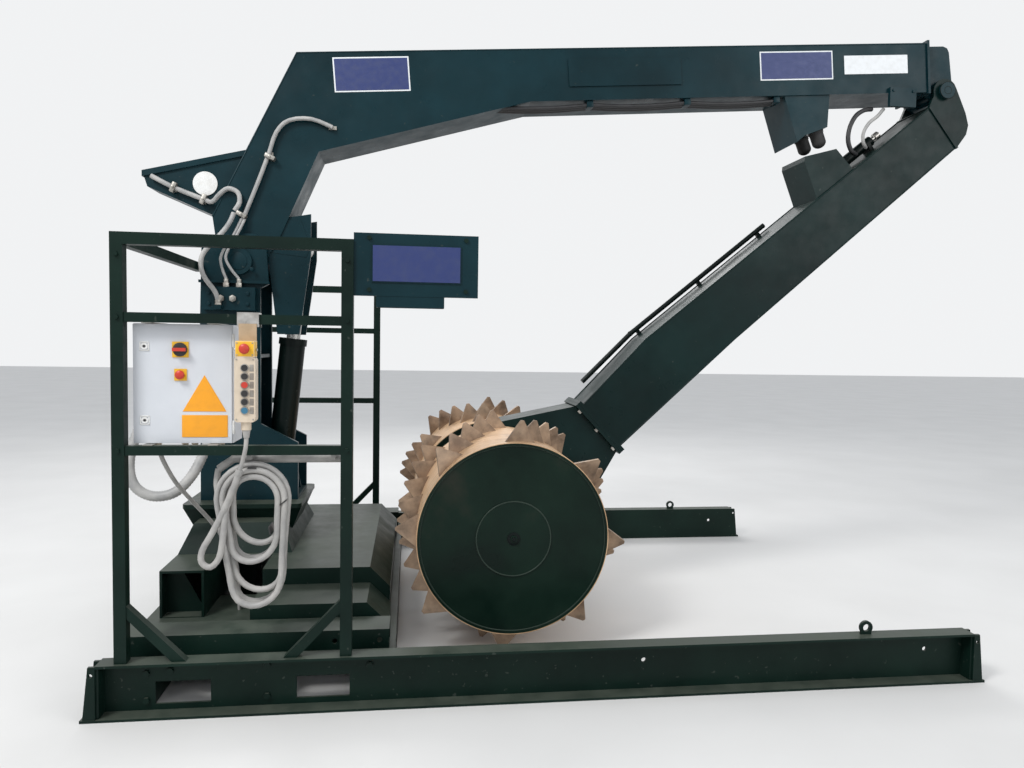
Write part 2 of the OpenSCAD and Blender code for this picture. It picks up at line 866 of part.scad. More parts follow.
module boom() {
    color(green)
        difference() {
            translate([0, arm_half, 0])
                rotate([90, 0, 0])
                    linear_extrude(height = arm_width)
                        boom_outline();
            translate([0, arm_half - arm_wall, 0])
                rotate([90, 0, 0])
                    linear_extrude(height = arm_width - 2 * arm_wall)
                        difference() {
                            offset(delta = -arm_wall)
                                boom_outline();
                            translate(pivot)
                                circle(r = pivot_pin + 25, $fn = 40);
                        }
            side_plate([boom_end + [-30, -12], boom_end + [5, -12], boom_end_low + [5, 12],
                boom_end_low + [-30, 12]], -arm_half + arm_wall, arm_half - arm_wall);
            bar_y(pivot, -arm_half - 1, arm_half + 1, pivot_pin + bearing_gap, 40);
            // Slot in the leg's inner wall, through which the lift cylinder reaches its eye
            side_plate([[235, 2040], [470, 2040], [470, 2330], [235, 2330]], -100, 100);
        }
    // Raised field on the side plate, left bare
    color(green)
        side_plate([on_boom(1580, 66), on_boom(2280, 66), on_boom(2280, 226),
            on_boom(1580, 226)], -arm_half - 8, -arm_half + 0.5);
    // Two cheeks below the leg cover the lift cylinder's rod
    color(dark_green)
        both_sides()
            side_plate([[130, 2290], [395, 2340], [395, 2100], [330, 1640], [205, 1640]],
                -148, -132);
    // Two lugs inside the leg hold the lift cylinder's eye
    color(dark_green)
        both_sides()
            side_plate([lift_eye + [-150, -40], lift_eye + [40, -60], lift_eye + [60, 10],
                lift_eye + [10, 150], lift_eye + [-150, 150]], -arm_half + arm_wall - 0.5,
                -arm_half + arm_wall - 0.4 + 60);
}

// End plate and the two head plates that carry the hinge pin
module boom_head() {
    lobe = hinge_lobe;
    a = boom_end;
    color(green) {
        side_plate([on_boom(boom_length + 0.3, -16), on_boom(boom_length + 16, -16),
            on_boom(boom_length + 16, boom_depth + 10),
            on_boom(boom_length + 0.3, boom_depth + 10)],
            -arm_half - 12, arm_half + 12);
        both_sides()
            side_plate(concat([on_boom(boom_length + 16, 6), on_boom(boom_length + 150, 6),
                on_boom(boom_length + 178, 18), on_boom(boom_length + 190, 45)],
                [for (t = [20 : -20 : -140]) hinge + lobe * [cos(t), sin(t)]],
                [on_boom(boom_length + 16, boom_depth - 4)]), -118, -93);
    }
    color(steel)
        bar_y(hinge, -arm_half - 12, arm_half + 12, hinge_pin, 40);
    color(dark_green)
        both_sides()
            bar_y(hinge, -arm_half - 22, -arm_half - 8, hinge_pin + 14, 40);
}

// A wedge-shaped lever behind the leg, with a wide top plate
module rear_lever() {
    tip = [-546, 2545];
    side = [tip + [6, -12], leg_face(2690), leg_face(2314), tip + [26, -76]];
    color(green) {
        difference() {
            side_plate(side, -112, 112);
            translate([0, 100, 0])
                rotate([90, 0, 0])
                    linear_extrude(height = 200)
                        offset(delta = -12)
                            polygon(side);
        }
        side_plate([tip + [0, -22], leg_face(2666), leg_face(2702), tip + [0, 12]], -124, 124);
    }
}

module lever_cap() {
    color([0.9, 0.9, 0.88])
        bar_y([-202, 2497], -118, -112, 68, 48);
}

// The folded arm's upper stop, a box bracket under the boom
module boom_bracket() {
    top = boom_depth + 0.3;
    p = [on_boom(stop_along, top), on_boom(stop_along + 72, boom_depth + 285),
         on_boom(stop_along + 125, boom_depth + 245), on_boom(stop_along + 278, boom_depth + 198),
         on_boom(stop_along + 300, top)];
    color(green) {
        both_sides()
            side_plate(p, -150, -138);
        side_plate([p[0], p[1], on_boom(stop_along + 86, boom_depth + 276),
            on_boom(stop_along + 13, top)], -138.5, 138.5);
        side_plate([p[2], p[3], on_boom(stop_along + 275, boom_depth + 185),
            on_boom(stop_along + 121, boom_depth + 232)], -138.5, 138.5);
    }
}

module buffer() {
    c = on_boom(stop_along + 230, boom_depth + 213.2);
    color(black)
        for (y = [-91, 91])
            translate([c[0], y, c[1]])
                rotate([0, -boom_rise - atan2(47, 153), 0]) {
                    translate([0, 0, -14])
                        cylinder(h = 14, r = 46, $fn = 36);
                    translate([0, 0, -70])
                        cylinder(h = 57, r = 42, $fn = 36);
                    translate([0, 0, -70])
                        scale([1, 1, 0.85])
                            sphere(r = 42, $fn = 36);
                }
}

module head_cover() {
    c = on_boom(boom_length - 272, boom_depth + 24);
    color(green)
        translate([c[0], -arm_half - 24, c[1] - 62])
            cube([178, 24, 118]);
    color(steel)
        for (x = [22, 156])
            translate([c[0] + x, -arm_half - 24, c[1] + 36])
                rotate([90, 0, 0])
                    cylinder(h = 7, r = 9, $fn = 6);
}

hose_y = -arm_half - 22;
hose_a = [[519, hose_y, 2834], [400, hose_y, 2875], [276, hose_y, 2861], [205, hose_y, 2790],
    [164, hose_y, 2668], [110, hose_y, 2520], [53, hose_y, 2373], [20, hose_y, 2290]];
hose_b = [[-492, -135, 2525], [-369, -138, 2464], [-206, -140, 2403], [-157, -144, 2390],
    [-110, -170, 2430], [-60, hose_y, 2462], [-6, hose_y - 4, 2440], [4, hose_y - 10, 2385],
    [-22, hose_y - 16, 2336]];

module boom_hoses() {
    color(grey) {
        sweep(curve(hose_a, 3), 12, 10);
        sweep(curve(hose_b, 3), 13.5, 10);
    }
}

module hose_clamps() {
    color(steel) {
        for (p = [hose_a[0], hose_a[4]])
            translate([p[0] - 22, p[1] + 12.3, p[2] - 10])
                cube([44, -arm_half - p[1] - 12.6, 20]);
        for (p = [hose_b[1], hose_b[2]])
            translate([p[0] - 10, p[1] + 13.8, p[2] - 24])
                cube([20, -112 - p[1] - 13.8, 48]);
    }
}

// Flange between the dipper and the drum's carrier: two plates and their bolts
dip_dir = (dip_top - dip_bend_top) / norm(dip_top - dip_bend_top);
dip_out = [-dip_dir[1], dip_dir[0]];
flange = [dip_end_top + 34 * dip_out, dip_end_low - 22 * dip_out + [6, -6]];
flange_way = [flange[1][1] - flange[0][1], flange[0][0] - flange[1][0]] / norm(flange[1] - flange[0]);
flange_plate = 20;

// Side view of the dipper arm
dipper_points = [dip_top, dip_low, dip_bend_low, dip_end_low, dip_end_top, dip_bend_top];

module dipper() {
    color(green)
        difference() {
            side_plate(dipper_points, -arm_half, arm_half);
            translate([0, arm_half - arm_wall, 0])
                rotate([90, 0, 0])
                    linear_extrude(height = arm_width - 2 * arm_wall)
                        union() {
                            offset(delta = -arm_wall)
                                polygon(dipper_points);
                            polygon([dip_top + [-22, -32], dip_top + [10, -12],
                                dip_low + [-6, 14], dip_low + [-38, -8]]);
                        }
        }
    color(green)
        side_plate([flange[0] - 2 * flange_way, flange[0] + flange_plate * flange_way,
            flange[1] + flange_plate * flange_way, flange[1] - 2 * flange_way],
            -arm_half - 24, arm_half + 24);
}

module dipper_head() {
    n = [dip_dir[0], dip_dir[1]];
    a = dip_top + 6 * dip_out + 0.3 * n;
    b = dip_low - 8 * dip_out + 0.3 * n;
    color(green)
        difference() {
            union() {
                side_plate([a, a + 16 * n, b + 16 * n, b], -arm_half - 10, arm_half + 10);
                both_sides()
                    side_plate(concat([a + 14 * n],
                        [for (t = [200 : -20 : 20]) hinge + hinge_lobe * [cos(t), sin(t)]],
                        [hinge + [150, -130], hinge + [172, -205], hinge + [160, -265],
                         b + 14 * n]), -arm_half + 5, -arm_half + 5 + lobe_plate);
            }
            bar_y(hinge, -arm_half - 1, arm_half + 1, hinge_pin + bearing_gap, 40);
        }
}

function on_dipper(along, up) = dip_top - along * dip_dir + up * dip_out;

module dipper_bracket() {
    p = [on_dipper(950, 0), on_dipper(872, 240), on_dipper(852, 262), on_dipper(654, 174),
         on_dipper(640, 0)];
    color(green) {
        both_sides()
            side_plate([p[0], p[1], p[2], p[3], p[4]], -150, -138);
        side_plate([p[0], p[1], on_dipper(860, 238), on_dipper(937, 0)], -138.5, 138.5);
        side_plate([p[1], p[2], on_dipper(849, 247), on_dipper(860, 236)], -138.5, 138.5);
        side_plate([p[2], p[3], on_dipper(658, 162), on_dipper(849, 247)], -138.5, 138.5);
    }
}

// A straight round rod between two places of the side view
module bent_rod(a, b, y, radius) {
    translate([a[0], y, a[1]])
        rotate([0, atan2(b[0] - a[0], b[1] - a[1]), 0])
            cylinder(h = norm(b - a), r = radius, $fn = 20);
}

// A pipe on three clips along the arm's far top edge
module arm_pipe() {
    color(dark_green) {
        bent_rod(on_dipper(1200, 40), on_dipper(2360, 40), 130, 16);
        bent_rod(on_dipper(2360, 40), dip_end_top + [55, 130], 130, 16);
        m = on_dipper(2360, 40);
        translate([m[0], 130, m[1]])
            sphere(r = 18, $fn = 20);
    }
    color(green)
        for (u = [1260, 1780, 2300])
            side_plate([on_dipper(u, 0), on_dipper(u + 24, 0), on_dipper(u + 24, 38),
                on_dipper(u, 38)], 118, 142);
}

module along_lock() {
    start = on_dipper(662, lock_drop);
    translate([start[0], 0, start[1]])
        rotate([0, atan2(dip_dir[0], dip_dir[1]), 0])
            children();
}

module lock_barrel() {
    color(black)
        along_lock()
            difference() {
                translate([0, 0, 20])
                    cylinder(h = 300, r = 34, $fn = 32);
                translate([0, 0, 60])
                    cylinder(h = 300, r = 17, $fn = 32);
            }
    color(dark_green)
        along_lock()
            for (z = [40, 260])
                difference() {
                    translate([2, -46, z])
                        cube([lock_drop - 2, 92, 24]);
                    translate([0, 0, z - 1])
                        cylinder(h = 26, r = 33.9, $fn = 32);
                }
}

module lock_rod() {
    color(steel)
        along_lock() {
            translate([0, 0, 110])
                cylinder(h = 250, r = 16, $fn = 32);
            translate([0, 0, 355])
                cylinder(h = 32, r = 26, $fn = 32);
        }
}

// Walls of the carrier: two side plates, a sloping top plate and a lower plate
flange_a = flange_plate + 1;
flange_b = flange_a + flange_plate;
flange_run = (flange[1] - flange[0]) / norm(flange[1] - flange[0]);
carrier = concat([flange[0] + flange_b * flange_way + 10 * flange_run,
    flange[1] + flange_b * flange_way - 10 * flange_run],
    [for (p = [[640, 140], [330, -60], [90, -140], [-90, -140], [-140, 20], [-67, 500]])
        drum + p]);

module drum_carrier() {
    f = flange;
    color(green) {
        difference() {
            side_plate(carrier, -carrier_half, carrier_half);
            translate([0, carrier_half - 14, 0])
                rotate([90, 0, 0])
                    linear_extrude(height = 2 * carrier_half - 28)
                        difference() {
                            offset(delta = -14)
                                polygon(carrier);
                            translate(drum)
                                circle(r = axle_radius + 30, $fn = 40);
                        }
            bar_y(drum, -carrier_half - 1, carrier_half + 1, axle_radius, 48);
        }
        side_plate([f[0] + flange_a * flange_way, f[0] + (flange_b + 0.5) * flange_way,
            f[1] + (flange_b + 0.5) * flange_way, f[1] + flange_a * flange_way],
            -arm_half - 24, arm_half + 24);
    }
}

module flange_bolts() {
    turn = atan2(flange_way[0], flange_way[1]);
    color(steel)
        both_sides()
            for (t = [0.12, 0.5, 0.88]) {
                c = flange[0] + t * (flange[1] - flange[0]) + (flange_b + 0.5) * flange_way;
                translate([c[0], -arm_half - 8, c[1]])
                    rotate([0, turn, 0])
                        cylinder(h = 14, r = 13, $fn = 6);
            }
}

module drum_axle() {
    color(steel)
        bar_y(drum, -drum_out + 120, drum_out - 120, axle_radius, 48);
}

// Shell, outer disc set back inside the rim and inner web with its bearing bore
module drum_half() {
    disc = 12;
    set_back = 10;
    difference() {
        bar_y(drum, -drum_out, -drum_in, shell_radius, 96);
        bar_y(drum, -drum_out - 1, -drum_out + set_back, shell_radius - shell_wall, 96);
        bar_y(drum, -drum_out + set_back + disc, -drum_in - set_back - disc,
            shell_radius - shell_wall, 96);
        bar_y(drum, -drum_in - set_back, -drum_in + 1, shell_radius - shell_wall, 96);
        bar_y(drum, -drum_out + 60, -drum_in + 1, axle_radius + bearing_gap, 48);
    }
}

module drum_front() {
    color(bare)
        drum_half();
}

module drum_rear() {
    color(bare)
        mirror([0, 1, 0])
            drum_half();
}

// One triangular plate, foot on the shell, turned a little out of the ring's plane
module tooth() {
    sink = 10;
    rotate([0, 0, tooth_skew])
        translate([0, tooth_plate / 2, 0])
            rotate([90, 0, 0])
                linear_extrude(height = tooth_plate)
                    polygon([[-tooth_base / 2, -sink], [tooth_base / 2, -sink],
                        [tooth_base * 0.06, tooth_height], [-tooth_base * 0.03, tooth_height]]);
}

module drum_teeth() {
    pitch = half_length / (rings + 0.3);
    step = 360 / (teeth_per_ring * rings);
    color(bare)
        difference() {
            for (ring = [0 : rings - 1], side = [-1, 1], i = [0 : teeth_per_ring - 1])
                translate([drum[0], side * (drum_out - 75 - ring * pitch), drum[1]])
                    rotate([0, 360 * i / teeth_per_ring + ring * step + 4, 0])
                        translate([0, 0, shell_radius])
                            tooth();
            bar_y(drum, -drum_out, drum_out, shell_radius, 96);
        }
}

// Round cover plate and centre bolt on each outer disc
module drum_hubs() {
    color(dark_green)
        both_sides() {
            bar_y(drum, -drum_out + 5, -drum_out + 10, 190, 64);
            bar_y(drum, -drum_out - 8, -drum_out + 6, 18, 24);
        }
}

rail_front();
rail_rear();
end_shoes();
lifting_eyes();
frame_bolts();
cross_beams();
base_box();
side_beams();
pedestal();
column();
boom_pin();
guard_front();
guard_rear();
sign_board();
cabinet_case();
cabinet_brackets();
cabinet_door();
latch_upper();
latch_lower();
switch_plates();
isolator_knob();
estop_button();
pendant_hook();
pendant_strap();
pendant_body();
pendant_estop();
button_1();
button_2();
button_3();
button_4();
button_5();
button_6();
conduit();
cable_lead();
cable_hank();
loop_hose();
lift_barrel();
lift_rod();
boom();
boom_head();
rear_lever();
lever_cap();
boom_bracket();
buffer();
head_cover();
boom_hoses();
hose_clamps();
dipper();
dipper_head();
dipper_bracket();
arm_pipe();
lock_barrel();
lock_rod();
drum_carrier();
flange_bolts();
drum_axle();
drum_front();
drum_rear();
drum_teeth();
drum_hubs();
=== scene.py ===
# %% [markdown]
# A roller waste compactor, dressed for its portrait
#
# The machine stands on two floor rails. A bent boom rises from a column, a straight dipper hangs from
# the boom's end, and a toothed drum turns at the dipper's foot and rolls on the waste in a container.
# The solids come from the CAD model. This lesson gives them their paint, steel and rubber, and adds
# the cables, hoses, bolts and welds that a plain solid lacks.

# %% Load the frame
import json
import math

import bmesh
import bpy
from mathutils import Matrix, Vector


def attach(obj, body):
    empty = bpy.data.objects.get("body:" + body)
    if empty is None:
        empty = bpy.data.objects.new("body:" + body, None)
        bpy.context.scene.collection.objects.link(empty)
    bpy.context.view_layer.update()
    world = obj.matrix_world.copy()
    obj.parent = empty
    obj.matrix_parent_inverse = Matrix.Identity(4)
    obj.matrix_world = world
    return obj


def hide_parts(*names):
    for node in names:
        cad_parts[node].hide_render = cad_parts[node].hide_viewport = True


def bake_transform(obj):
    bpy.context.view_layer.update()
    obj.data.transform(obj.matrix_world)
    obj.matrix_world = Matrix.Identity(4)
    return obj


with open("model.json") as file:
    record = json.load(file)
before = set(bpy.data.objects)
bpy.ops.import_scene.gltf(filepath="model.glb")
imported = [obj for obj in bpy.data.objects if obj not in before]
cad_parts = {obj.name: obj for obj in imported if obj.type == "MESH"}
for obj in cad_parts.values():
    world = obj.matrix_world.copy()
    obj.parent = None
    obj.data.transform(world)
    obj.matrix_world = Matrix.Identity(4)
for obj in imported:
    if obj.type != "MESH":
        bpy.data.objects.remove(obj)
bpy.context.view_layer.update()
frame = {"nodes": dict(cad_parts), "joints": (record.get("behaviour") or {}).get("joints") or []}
nodes = frame["nodes"]
joint_at = {joint["name"]: Vector(joint["pos_m"]) for joint in frame["joints"] if "pos_m" in joint}
pivot = joint_at["boom_lift"]
hinge = joint_at["dipper_fold"]
drum_centre = joint_at["drum_spin"]
isolator_centre = joint_at["isolator_turn"]
latch_centres = {"upper_latch": joint_at["upper_latch_turn"],
                 "lower_latch": joint_at["lower_latch_turn"]}
print("joints with a place:", len(joint_at))

# %% [markdown]
# The camera
#
# A camera is known by its place, its lens and three turns. These were found by lining up the rails,
# the posts and the boom with their places in the model. A camera can also be aimed at a point, but then
# its roll is lost, and a hand-held picture always has a little roll. The eye is at the height of a
# standing person's, and looks slightly down.

# %% Set the camera
def show(name, data):
    """A new object in the scene, at the world's origin, with this mesh, curve, lamp or camera."""
    obj = bpy.data.objects.new(name, data)
    bpy.context.scene.collection.objects.link(obj)
    return obj


camera_data = bpy.data.cameras.new("camera")
camera_data.sensor_width = 36.0
camera_data.lens = 26.94
camera = show("camera", camera_data)
eye = (0.98, -4.767, 1.601)
turn = Matrix.Rotation(math.radians(-7.53), 4, "Z")
tilt = Matrix.Rotation(math.radians(87.05), 4, "X")
roll = Matrix.Rotation(math.radians(0.91), 4, "Z")
camera.matrix_world = Matrix.Translation(eye) @ turn @ tilt @ roll
bpy.context.scene.camera = camera
print("camera at", [round(c, 3) for c in camera.location], "lens", camera_data.lens)

# %% [markdown]
# Rubber and plastic for cables
#
# The control cable has a grey sheath that has gone dull and dusty. A dull sheath is a rough shader
# with two greys mixed by a slow noise, and a fine bump keeps its highlight from being a clean line. The
# helpers below wrap the nodes that every material here needs, so that each material stays a few lines.

# %% Helpers for node trees
def new_material(name):
    """A material with its shader and its object coordinates."""
    material = bpy.data.materials.new(name)
    material.use_nodes = True
    tree = material.node_tree
    shader = tree.nodes["Principled BSDF"]
    place = tree.nodes.new("ShaderNodeTexCoord")
    return material, tree, shader, place.outputs["Object"]


def noise(tree, vector, scale, detail=3.0, rough=0.5, stretch=None):
    """A noise pattern on the piece, drawn out along an axis where stretch says so."""
    if stretch is not None:
        mapping = tree.nodes.new("ShaderNodeMapping")
        mapping.inputs["Scale"].default_value = stretch
        tree.links.new(vector, mapping.inputs["Vector"])
        vector = mapping.outputs["Vector"]
    node = tree.nodes.new("ShaderNodeTexNoise")
    node.inputs["Scale"].default_value = scale
    node.inputs["Detail"].default_value = detail
    node.inputs["Roughness"].default_value = rough
    tree.links.new(vector, node.inputs["Vector"])
    return node.outputs["Fac"]


def ramp(tree, value, stops):
    """Colours at places along a value from 0 to 1."""
    node = tree.nodes.new("ShaderNodeValToRGB")
    band = node.color_ramp
    while len(band.elements) < len(stops):
        band.elements.new(0.5)
    for element, (where, colour) in zip(band.elements, stops):
        element.position = where
        element.color = (*colour, 1.0) if len(colour) == 3 else colour
    tree.links.new(value, node.inputs["Fac"])
    return node.outputs["Color"]


def mix(tree, factor, low, high):
    """low where the factor is 0 and high where it is 1. A tuple is a plain colour."""
    node = tree.nodes.new("ShaderNodeMix")
    node.data_type = "RGBA"
    tree.links.new(factor, node.inputs[0])
    for socket, value in ((node.inputs[6], low), (node.inputs[7], high)):
        if isinstance(value, tuple):
            socket.default_value = (*value, 1.0)
        else:
            tree.links.new(value, socket)
    return node.outputs[2]


def bump(tree, shader, height, strength, distance):
    """A fine relief, with its greatest height in metres."""
    node = tree.nodes.new("ShaderNodeBump")
    node.inputs["Strength"].default_value = strength
    node.inputs["Distance"].default_value = distance
    tree.links.new(height, node.inputs["Height"])
    tree.links.new(node.outputs["Normal"], shader.inputs["Normal"])


def span(tree, value, low, high, start=0.3, stop=0.7):
    """Spreads a value's range from start to stop over low to high."""
    node = tree.nodes.new("ShaderNodeMapRange")
    node.inputs["From Min"].default_value = start
    node.inputs["From Max"].default_value = stop
    node.inputs["To Min"].default_value = low
    node.inputs["To Max"].default_value = high
    tree.links.new(value, node.inputs["Value"])
    return node.outputs["Result"]


print("helpers for materials are ready")

# %% Sheath materials
def sheath(name, dark, light, low_rough, high_rough):
    """A dull rubber or plastic skin in two close shades."""
    material, tree, shader, place = new_material(name)
    patches = noise(tree, place, 14.0, 4.0)
    tree.links.new(ramp(tree, patches, [(0.3, dark), (0.7, light)]), shader.inputs["Base Color"])
    tree.links.new(span(tree, patches, low_rough, high_rough), shader.inputs["Roughness"])
    bump(tree, shader, noise(tree, place, 420.0, 2.0), 0.25, 0.0006)
    return material


cable_grey = sheath("cable_grey", (0.26, 0.26, 0.255), (0.44, 0.43, 0.41), 0.45, 0.7)
conduit_grey = sheath("conduit_grey", (0.27, 0.265, 0.255), (0.42, 0.405, 0.38), 0.42, 0.66)
hose_black = sheath("hose_black", (0.012, 0.012, 0.013), (0.03, 0.03, 0.032), 0.38, 0.6)
print("sheaths:", cable_grey.name, conduit_grey.name, hose_black.name)

# %% [markdown]
# The pendant's cable
#
# A control pendant hangs on the guard. A thin cable leaves its gland and soon enters a thicker flexible
# conduit through a collar. The conduit turns at the left and climbs into a hank of six turns that hangs
# from the pipe under the cabinet, where its other end goes in. The turns lie in three layers, one
# conduit thick each. In each layer it spirals from small round turns to long hanging ones, or back, so
# that no turn crosses another. A rope could be left to fall by simulation, but a formula keeps every
# turn where it belongs and gives the same hank each time.

# %% Helpers for cables and hoses
def smooth_route(points, steps=4):
    """A smooth line through listed points."""
    spots = [Vector(p) for p in points]
    line = []
    for i in range(len(spots) - 1):
        a, b = spots[max(i - 1, 0)], spots[i]
        c, d = spots[i + 1], spots[min(i + 2, len(spots) - 1)]
        for k in range(steps):
            t = k / steps
            line.append(0.5 * (2 * b + t * (c - a) + t * t * (2 * a - 5 * b + 4 * c - d)
                               + t ** 3 * (3 * b - a - 3 * c + d)))
    line.append(spots[-1])
    return line


def run_length(line):
    """The length of a line in metres."""
    return sum((b - a).length for a, b in zip(line, line[1:]))


def tubes(name, lines, radius, material, body, roundness=3):
    """Round tubes with closed ends along several lines, as one curve."""
    data = bpy.data.curves.new(name, "CURVE")
    data.dimensions = "3D"
    data.bevel_depth = radius
    data.bevel_resolution = roundness
    data.use_fill_caps = True
    for line in lines:
        spline = data.splines.new("POLY")
        spline.points.add(len(line) - 1)
        for point, spot in zip(spline.points, line):
            point.co = (*spot, 1.0)
        spline.use_smooth = True
    data.materials.append(material)
    obj = show(name, data)
    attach(obj, body)
    return obj


def as_mesh(name, curve):
    """Puts a mesh object of the same shape in the place of a curve."""
    mesh = bpy.data.meshes.new_from_object(curve)
    bpy.data.objects.remove(curve)
    return show(name, mesh)


def mesh_tube(name, line, radius, material, a):
    """One tube along a line, as a mesh with its place baked into its vertices."""
    obj = as_mesh(name, tubes(name + "_line", [line], radius, material, a))
    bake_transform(obj)
    return obj


hank_x, hank_z = 0.320, 0.927
longest_drop = 0.42
foot_shrink, foot_drift = 0.047, 0.02


def turn_point(part, radius, drop, y):
    """A place on one hanging turn: over the top, down the right, round the foot and up the left."""
    foot = radius - foot_shrink * drop / longest_drop
    foot_x, foot_z = hank_x + foot_drift * drop / longest_drop, hank_z - drop
    side = math.hypot(foot_x - hank_x + foot - radius, drop)
    lengths = [math.pi * radius, side, math.pi * foot, side]
    s = part * sum(lengths)
    if s < lengths[0]:
        angle = math.pi - s / radius
        return (hank_x + radius * math.cos(angle), y, hank_z + radius * math.sin(angle))
    s -= lengths[0]
    if s < lengths[1]:
        t = s / side
        return (hank_x + radius + t * (foot_x + foot - hank_x - radius), y, hank_z - t * drop)
    s -= lengths[1]
    if s < lengths[2]:
        angle = -s / foot
        return (foot_x + foot * math.cos(angle), y, foot_z + foot * math.sin(angle))
    t = (s - lengths[2]) / side
    return (foot_x - foot + t * (hank_x - radius - foot_x + foot), y, foot_z + t * drop)


print("helpers for cables are ready")

# %% Lay the pendant's cable
thin_radius, cable_radius = 0.0088, 0.0132
lead_y = -1.4656
thin_lead = [(0.305, -1.486, 1.2295), (0.305, -1.486, 1.195), (0.301, -1.485, 1.150),
             (0.285, -1.4716, 1.090), (0.272, -1.4706, 1.050)]
lead = [(0.272, -1.4706, 1.050), (0.255, -1.4696, 1.000), (0.210, -1.4676, 0.890),
        (0.160, lead_y, 0.790), (0.122, lead_y, 0.720), (0.120, lead_y, 0.670),
        (0.155, lead_y, 0.650), (0.190, lead_y, 0.690), (0.205, lead_y, 0.770),
        (0.212, lead_y, 0.850), (0.218, -1.456, 0.900)]
tail = [(0.163, -1.376, 0.955), (0.157, -1.362, 1.000), (0.162, -1.351, 1.046)]
layers = [-1.438, -1.409, -1.380]
turn_steps = 24
layer_steps = 2 * turn_steps
shift_steps = 3
hank = []
for number, y in enumerate(layers):
    next_y = layers[number + 1] if number + 1 < len(layers) else y
    for k in range(layer_steps):
        grown = 1 - k / layer_steps if number == 1 else k / layer_steps
        shift = max(0.0, (k - layer_steps + shift_steps) / shift_steps)
        hank.append(turn_point((k % turn_steps) / turn_steps, 0.093 + 0.059 * grown,
                               0.04 + 0.38 * grown, y + shift * (next_y - y)))
thin_line = smooth_route(thin_lead, 4)
thin_cable = tubes("pendant_lead", [thin_line], thin_radius, conduit_grey, "base")
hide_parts("cable_lead")
cable_line = smooth_route(lead, 3) + smooth_route(hank + tail, 2)
pendant_cable = tubes("pendant_conduit", [cable_line], cable_radius, conduit_grey, "base")
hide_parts("cable_lead", "cable_hank")
print("pendant cable:", round(run_length(thin_line), 2), "m, conduit:",
      round(run_length(cable_line), 2), "m in", len(cable_line), "points")

# %% [markdown]
# The loop hose at the pivot
#
# A hose leaves the column and swings out to the boom in a free loop, so that the boom can rise. On the
# machine its lower end stays with the column and its upper end goes with the boom. Here the hose is
# turned from a curve into a mesh. Two thin hoses go up beside it in the same way.

# %% Lay the loop hose and the two thin ones
loop_radius, thin_hose_radius = 0.0133, 0.0082
loop_y = -0.272
loop = [(-0.095, loop_y, 1.8015), (-0.098, loop_y - 0.002, 1.8325),
        (-0.106, loop_y - 0.008, 1.8615), (-0.120, loop_y - 0.018, 1.888),
        (-0.136, loop_y - 0.031, 1.911), (-0.151, loop_y - 0.044, 1.936),
        (-0.163, loop_y - 0.055, 1.963), (-0.170, loop_y - 0.063, 1.992),
        (-0.171, loop_y - 0.067, 2.022), (-0.166, loop_y - 0.066, 2.055),
        (-0.152, loop_y - 0.060, 2.087), (-0.131, loop_y - 0.049, 2.117),
        (-0.108, loop_y - 0.034, 2.147), (-0.085, loop_y - 0.017, 2.180),
        (-0.063, loop_y + 0.002, 2.214), (-0.044, loop_y + 0.021, 2.249),
        (-0.031, loop_y + 0.038, 2.284), (-0.022, loop_y + 0.051, 2.318)]
loop_line = smooth_route(loop, 2)
loop_hose = mesh_tube("loop_hose_skin", loop_line, loop_radius, cable_grey, "base")
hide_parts("loop_hose")
print("loop_hose_skin", round(run_length(loop_line), 3), "m")
thin_loop = [(-0.060, -0.237, 1.947), (-0.078, -0.248, 2.000), (-0.086, -0.252, 2.060),
             (-0.062, -0.252, 2.120), (-0.026, -0.240, 2.180), (-0.002, -0.216, 2.240),
             (0.012, -0.184, 2.290)]
twin_loop = [(0.010, -0.237, 1.947), (-0.030, -0.250, 2.000), (-0.058, -0.256, 2.060),
             (-0.040, -0.254, 2.120), (-0.008, -0.242, 2.180), (0.016, -0.218, 2.240),
             (0.030, -0.184, 2.290)]
for name, points in (("thin_loop_hose", thin_loop), ("twin_loop_hose", twin_loop)):
    line = smooth_route(points, 5)
    hose = mesh_tube(name, line, thin_hose_radius, cable_grey, "base")
    print(name, round(run_length(line), 3), "m")

# %% [markdown]
# The wide ribbed hose and the feed cable
#
# A wide ribbed hose hangs in a loop behind the guard, at the column's left. Its ribs are rings: the
# tube's radius swells and shrinks every few millimetres. A bump in the material would be cheaper, but
# ribs show at the hose's outline, so they are in the shape. A thin feed cable drops from the cabinet's
# foot to the base.

# %% Lay the ribbed hose and the feed cable
ribbed_radius, valley, feed_radius = 0.028, 0.9, 0.0095
ribbed = [(-0.130, -0.1955, 1.440), (-0.142, -0.245, 1.438), (-0.185, -0.305, 1.420),
          (-0.260, -0.360, 1.375), (-0.350, -0.425, 1.290), (-0.435, -0.505, 1.140),
          (-0.470, -0.570, 0.980), (-0.445, -0.600, 0.850), (-0.362, -0.600, 0.785),
          (-0.250, -0.590, 0.795), (-0.165, -0.560, 0.880), (-0.120, -0.480, 1.000),
          (-0.108, -0.370, 1.110), (-0.118, -0.270, 1.185), (-0.124, -0.1955, 1.205)]
ribbed_line = smooth_route(ribbed, 16)
ribbed_curve = tubes("ribbed_hose_line", [ribbed_line], ribbed_radius, cable_grey, "base")
for number, point in enumerate(ribbed_curve.data.splines[0].points):
    point.radius = 1.0 if number % 2 else valley
ribbed_hose = as_mesh("ribbed_hose", ribbed_curve)
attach(ribbed_hose, "base")
feed = [(-0.090, -1.330, 1.155), (-0.088, -1.320, 1.115), (-0.078, -1.290, 1.060),
        (-0.058, -1.200, 0.960), (-0.020, -1.080, 0.850), (0.030, -0.960, 0.730),
        (0.075, -0.850, 0.600), (0.100, -0.760, 0.480), (0.105, -0.720, 0.380),
        (0.105, -0.700, 0.290), (0.105, -0.690, 0.2005)]
feed_line = smooth_route(feed, 3)
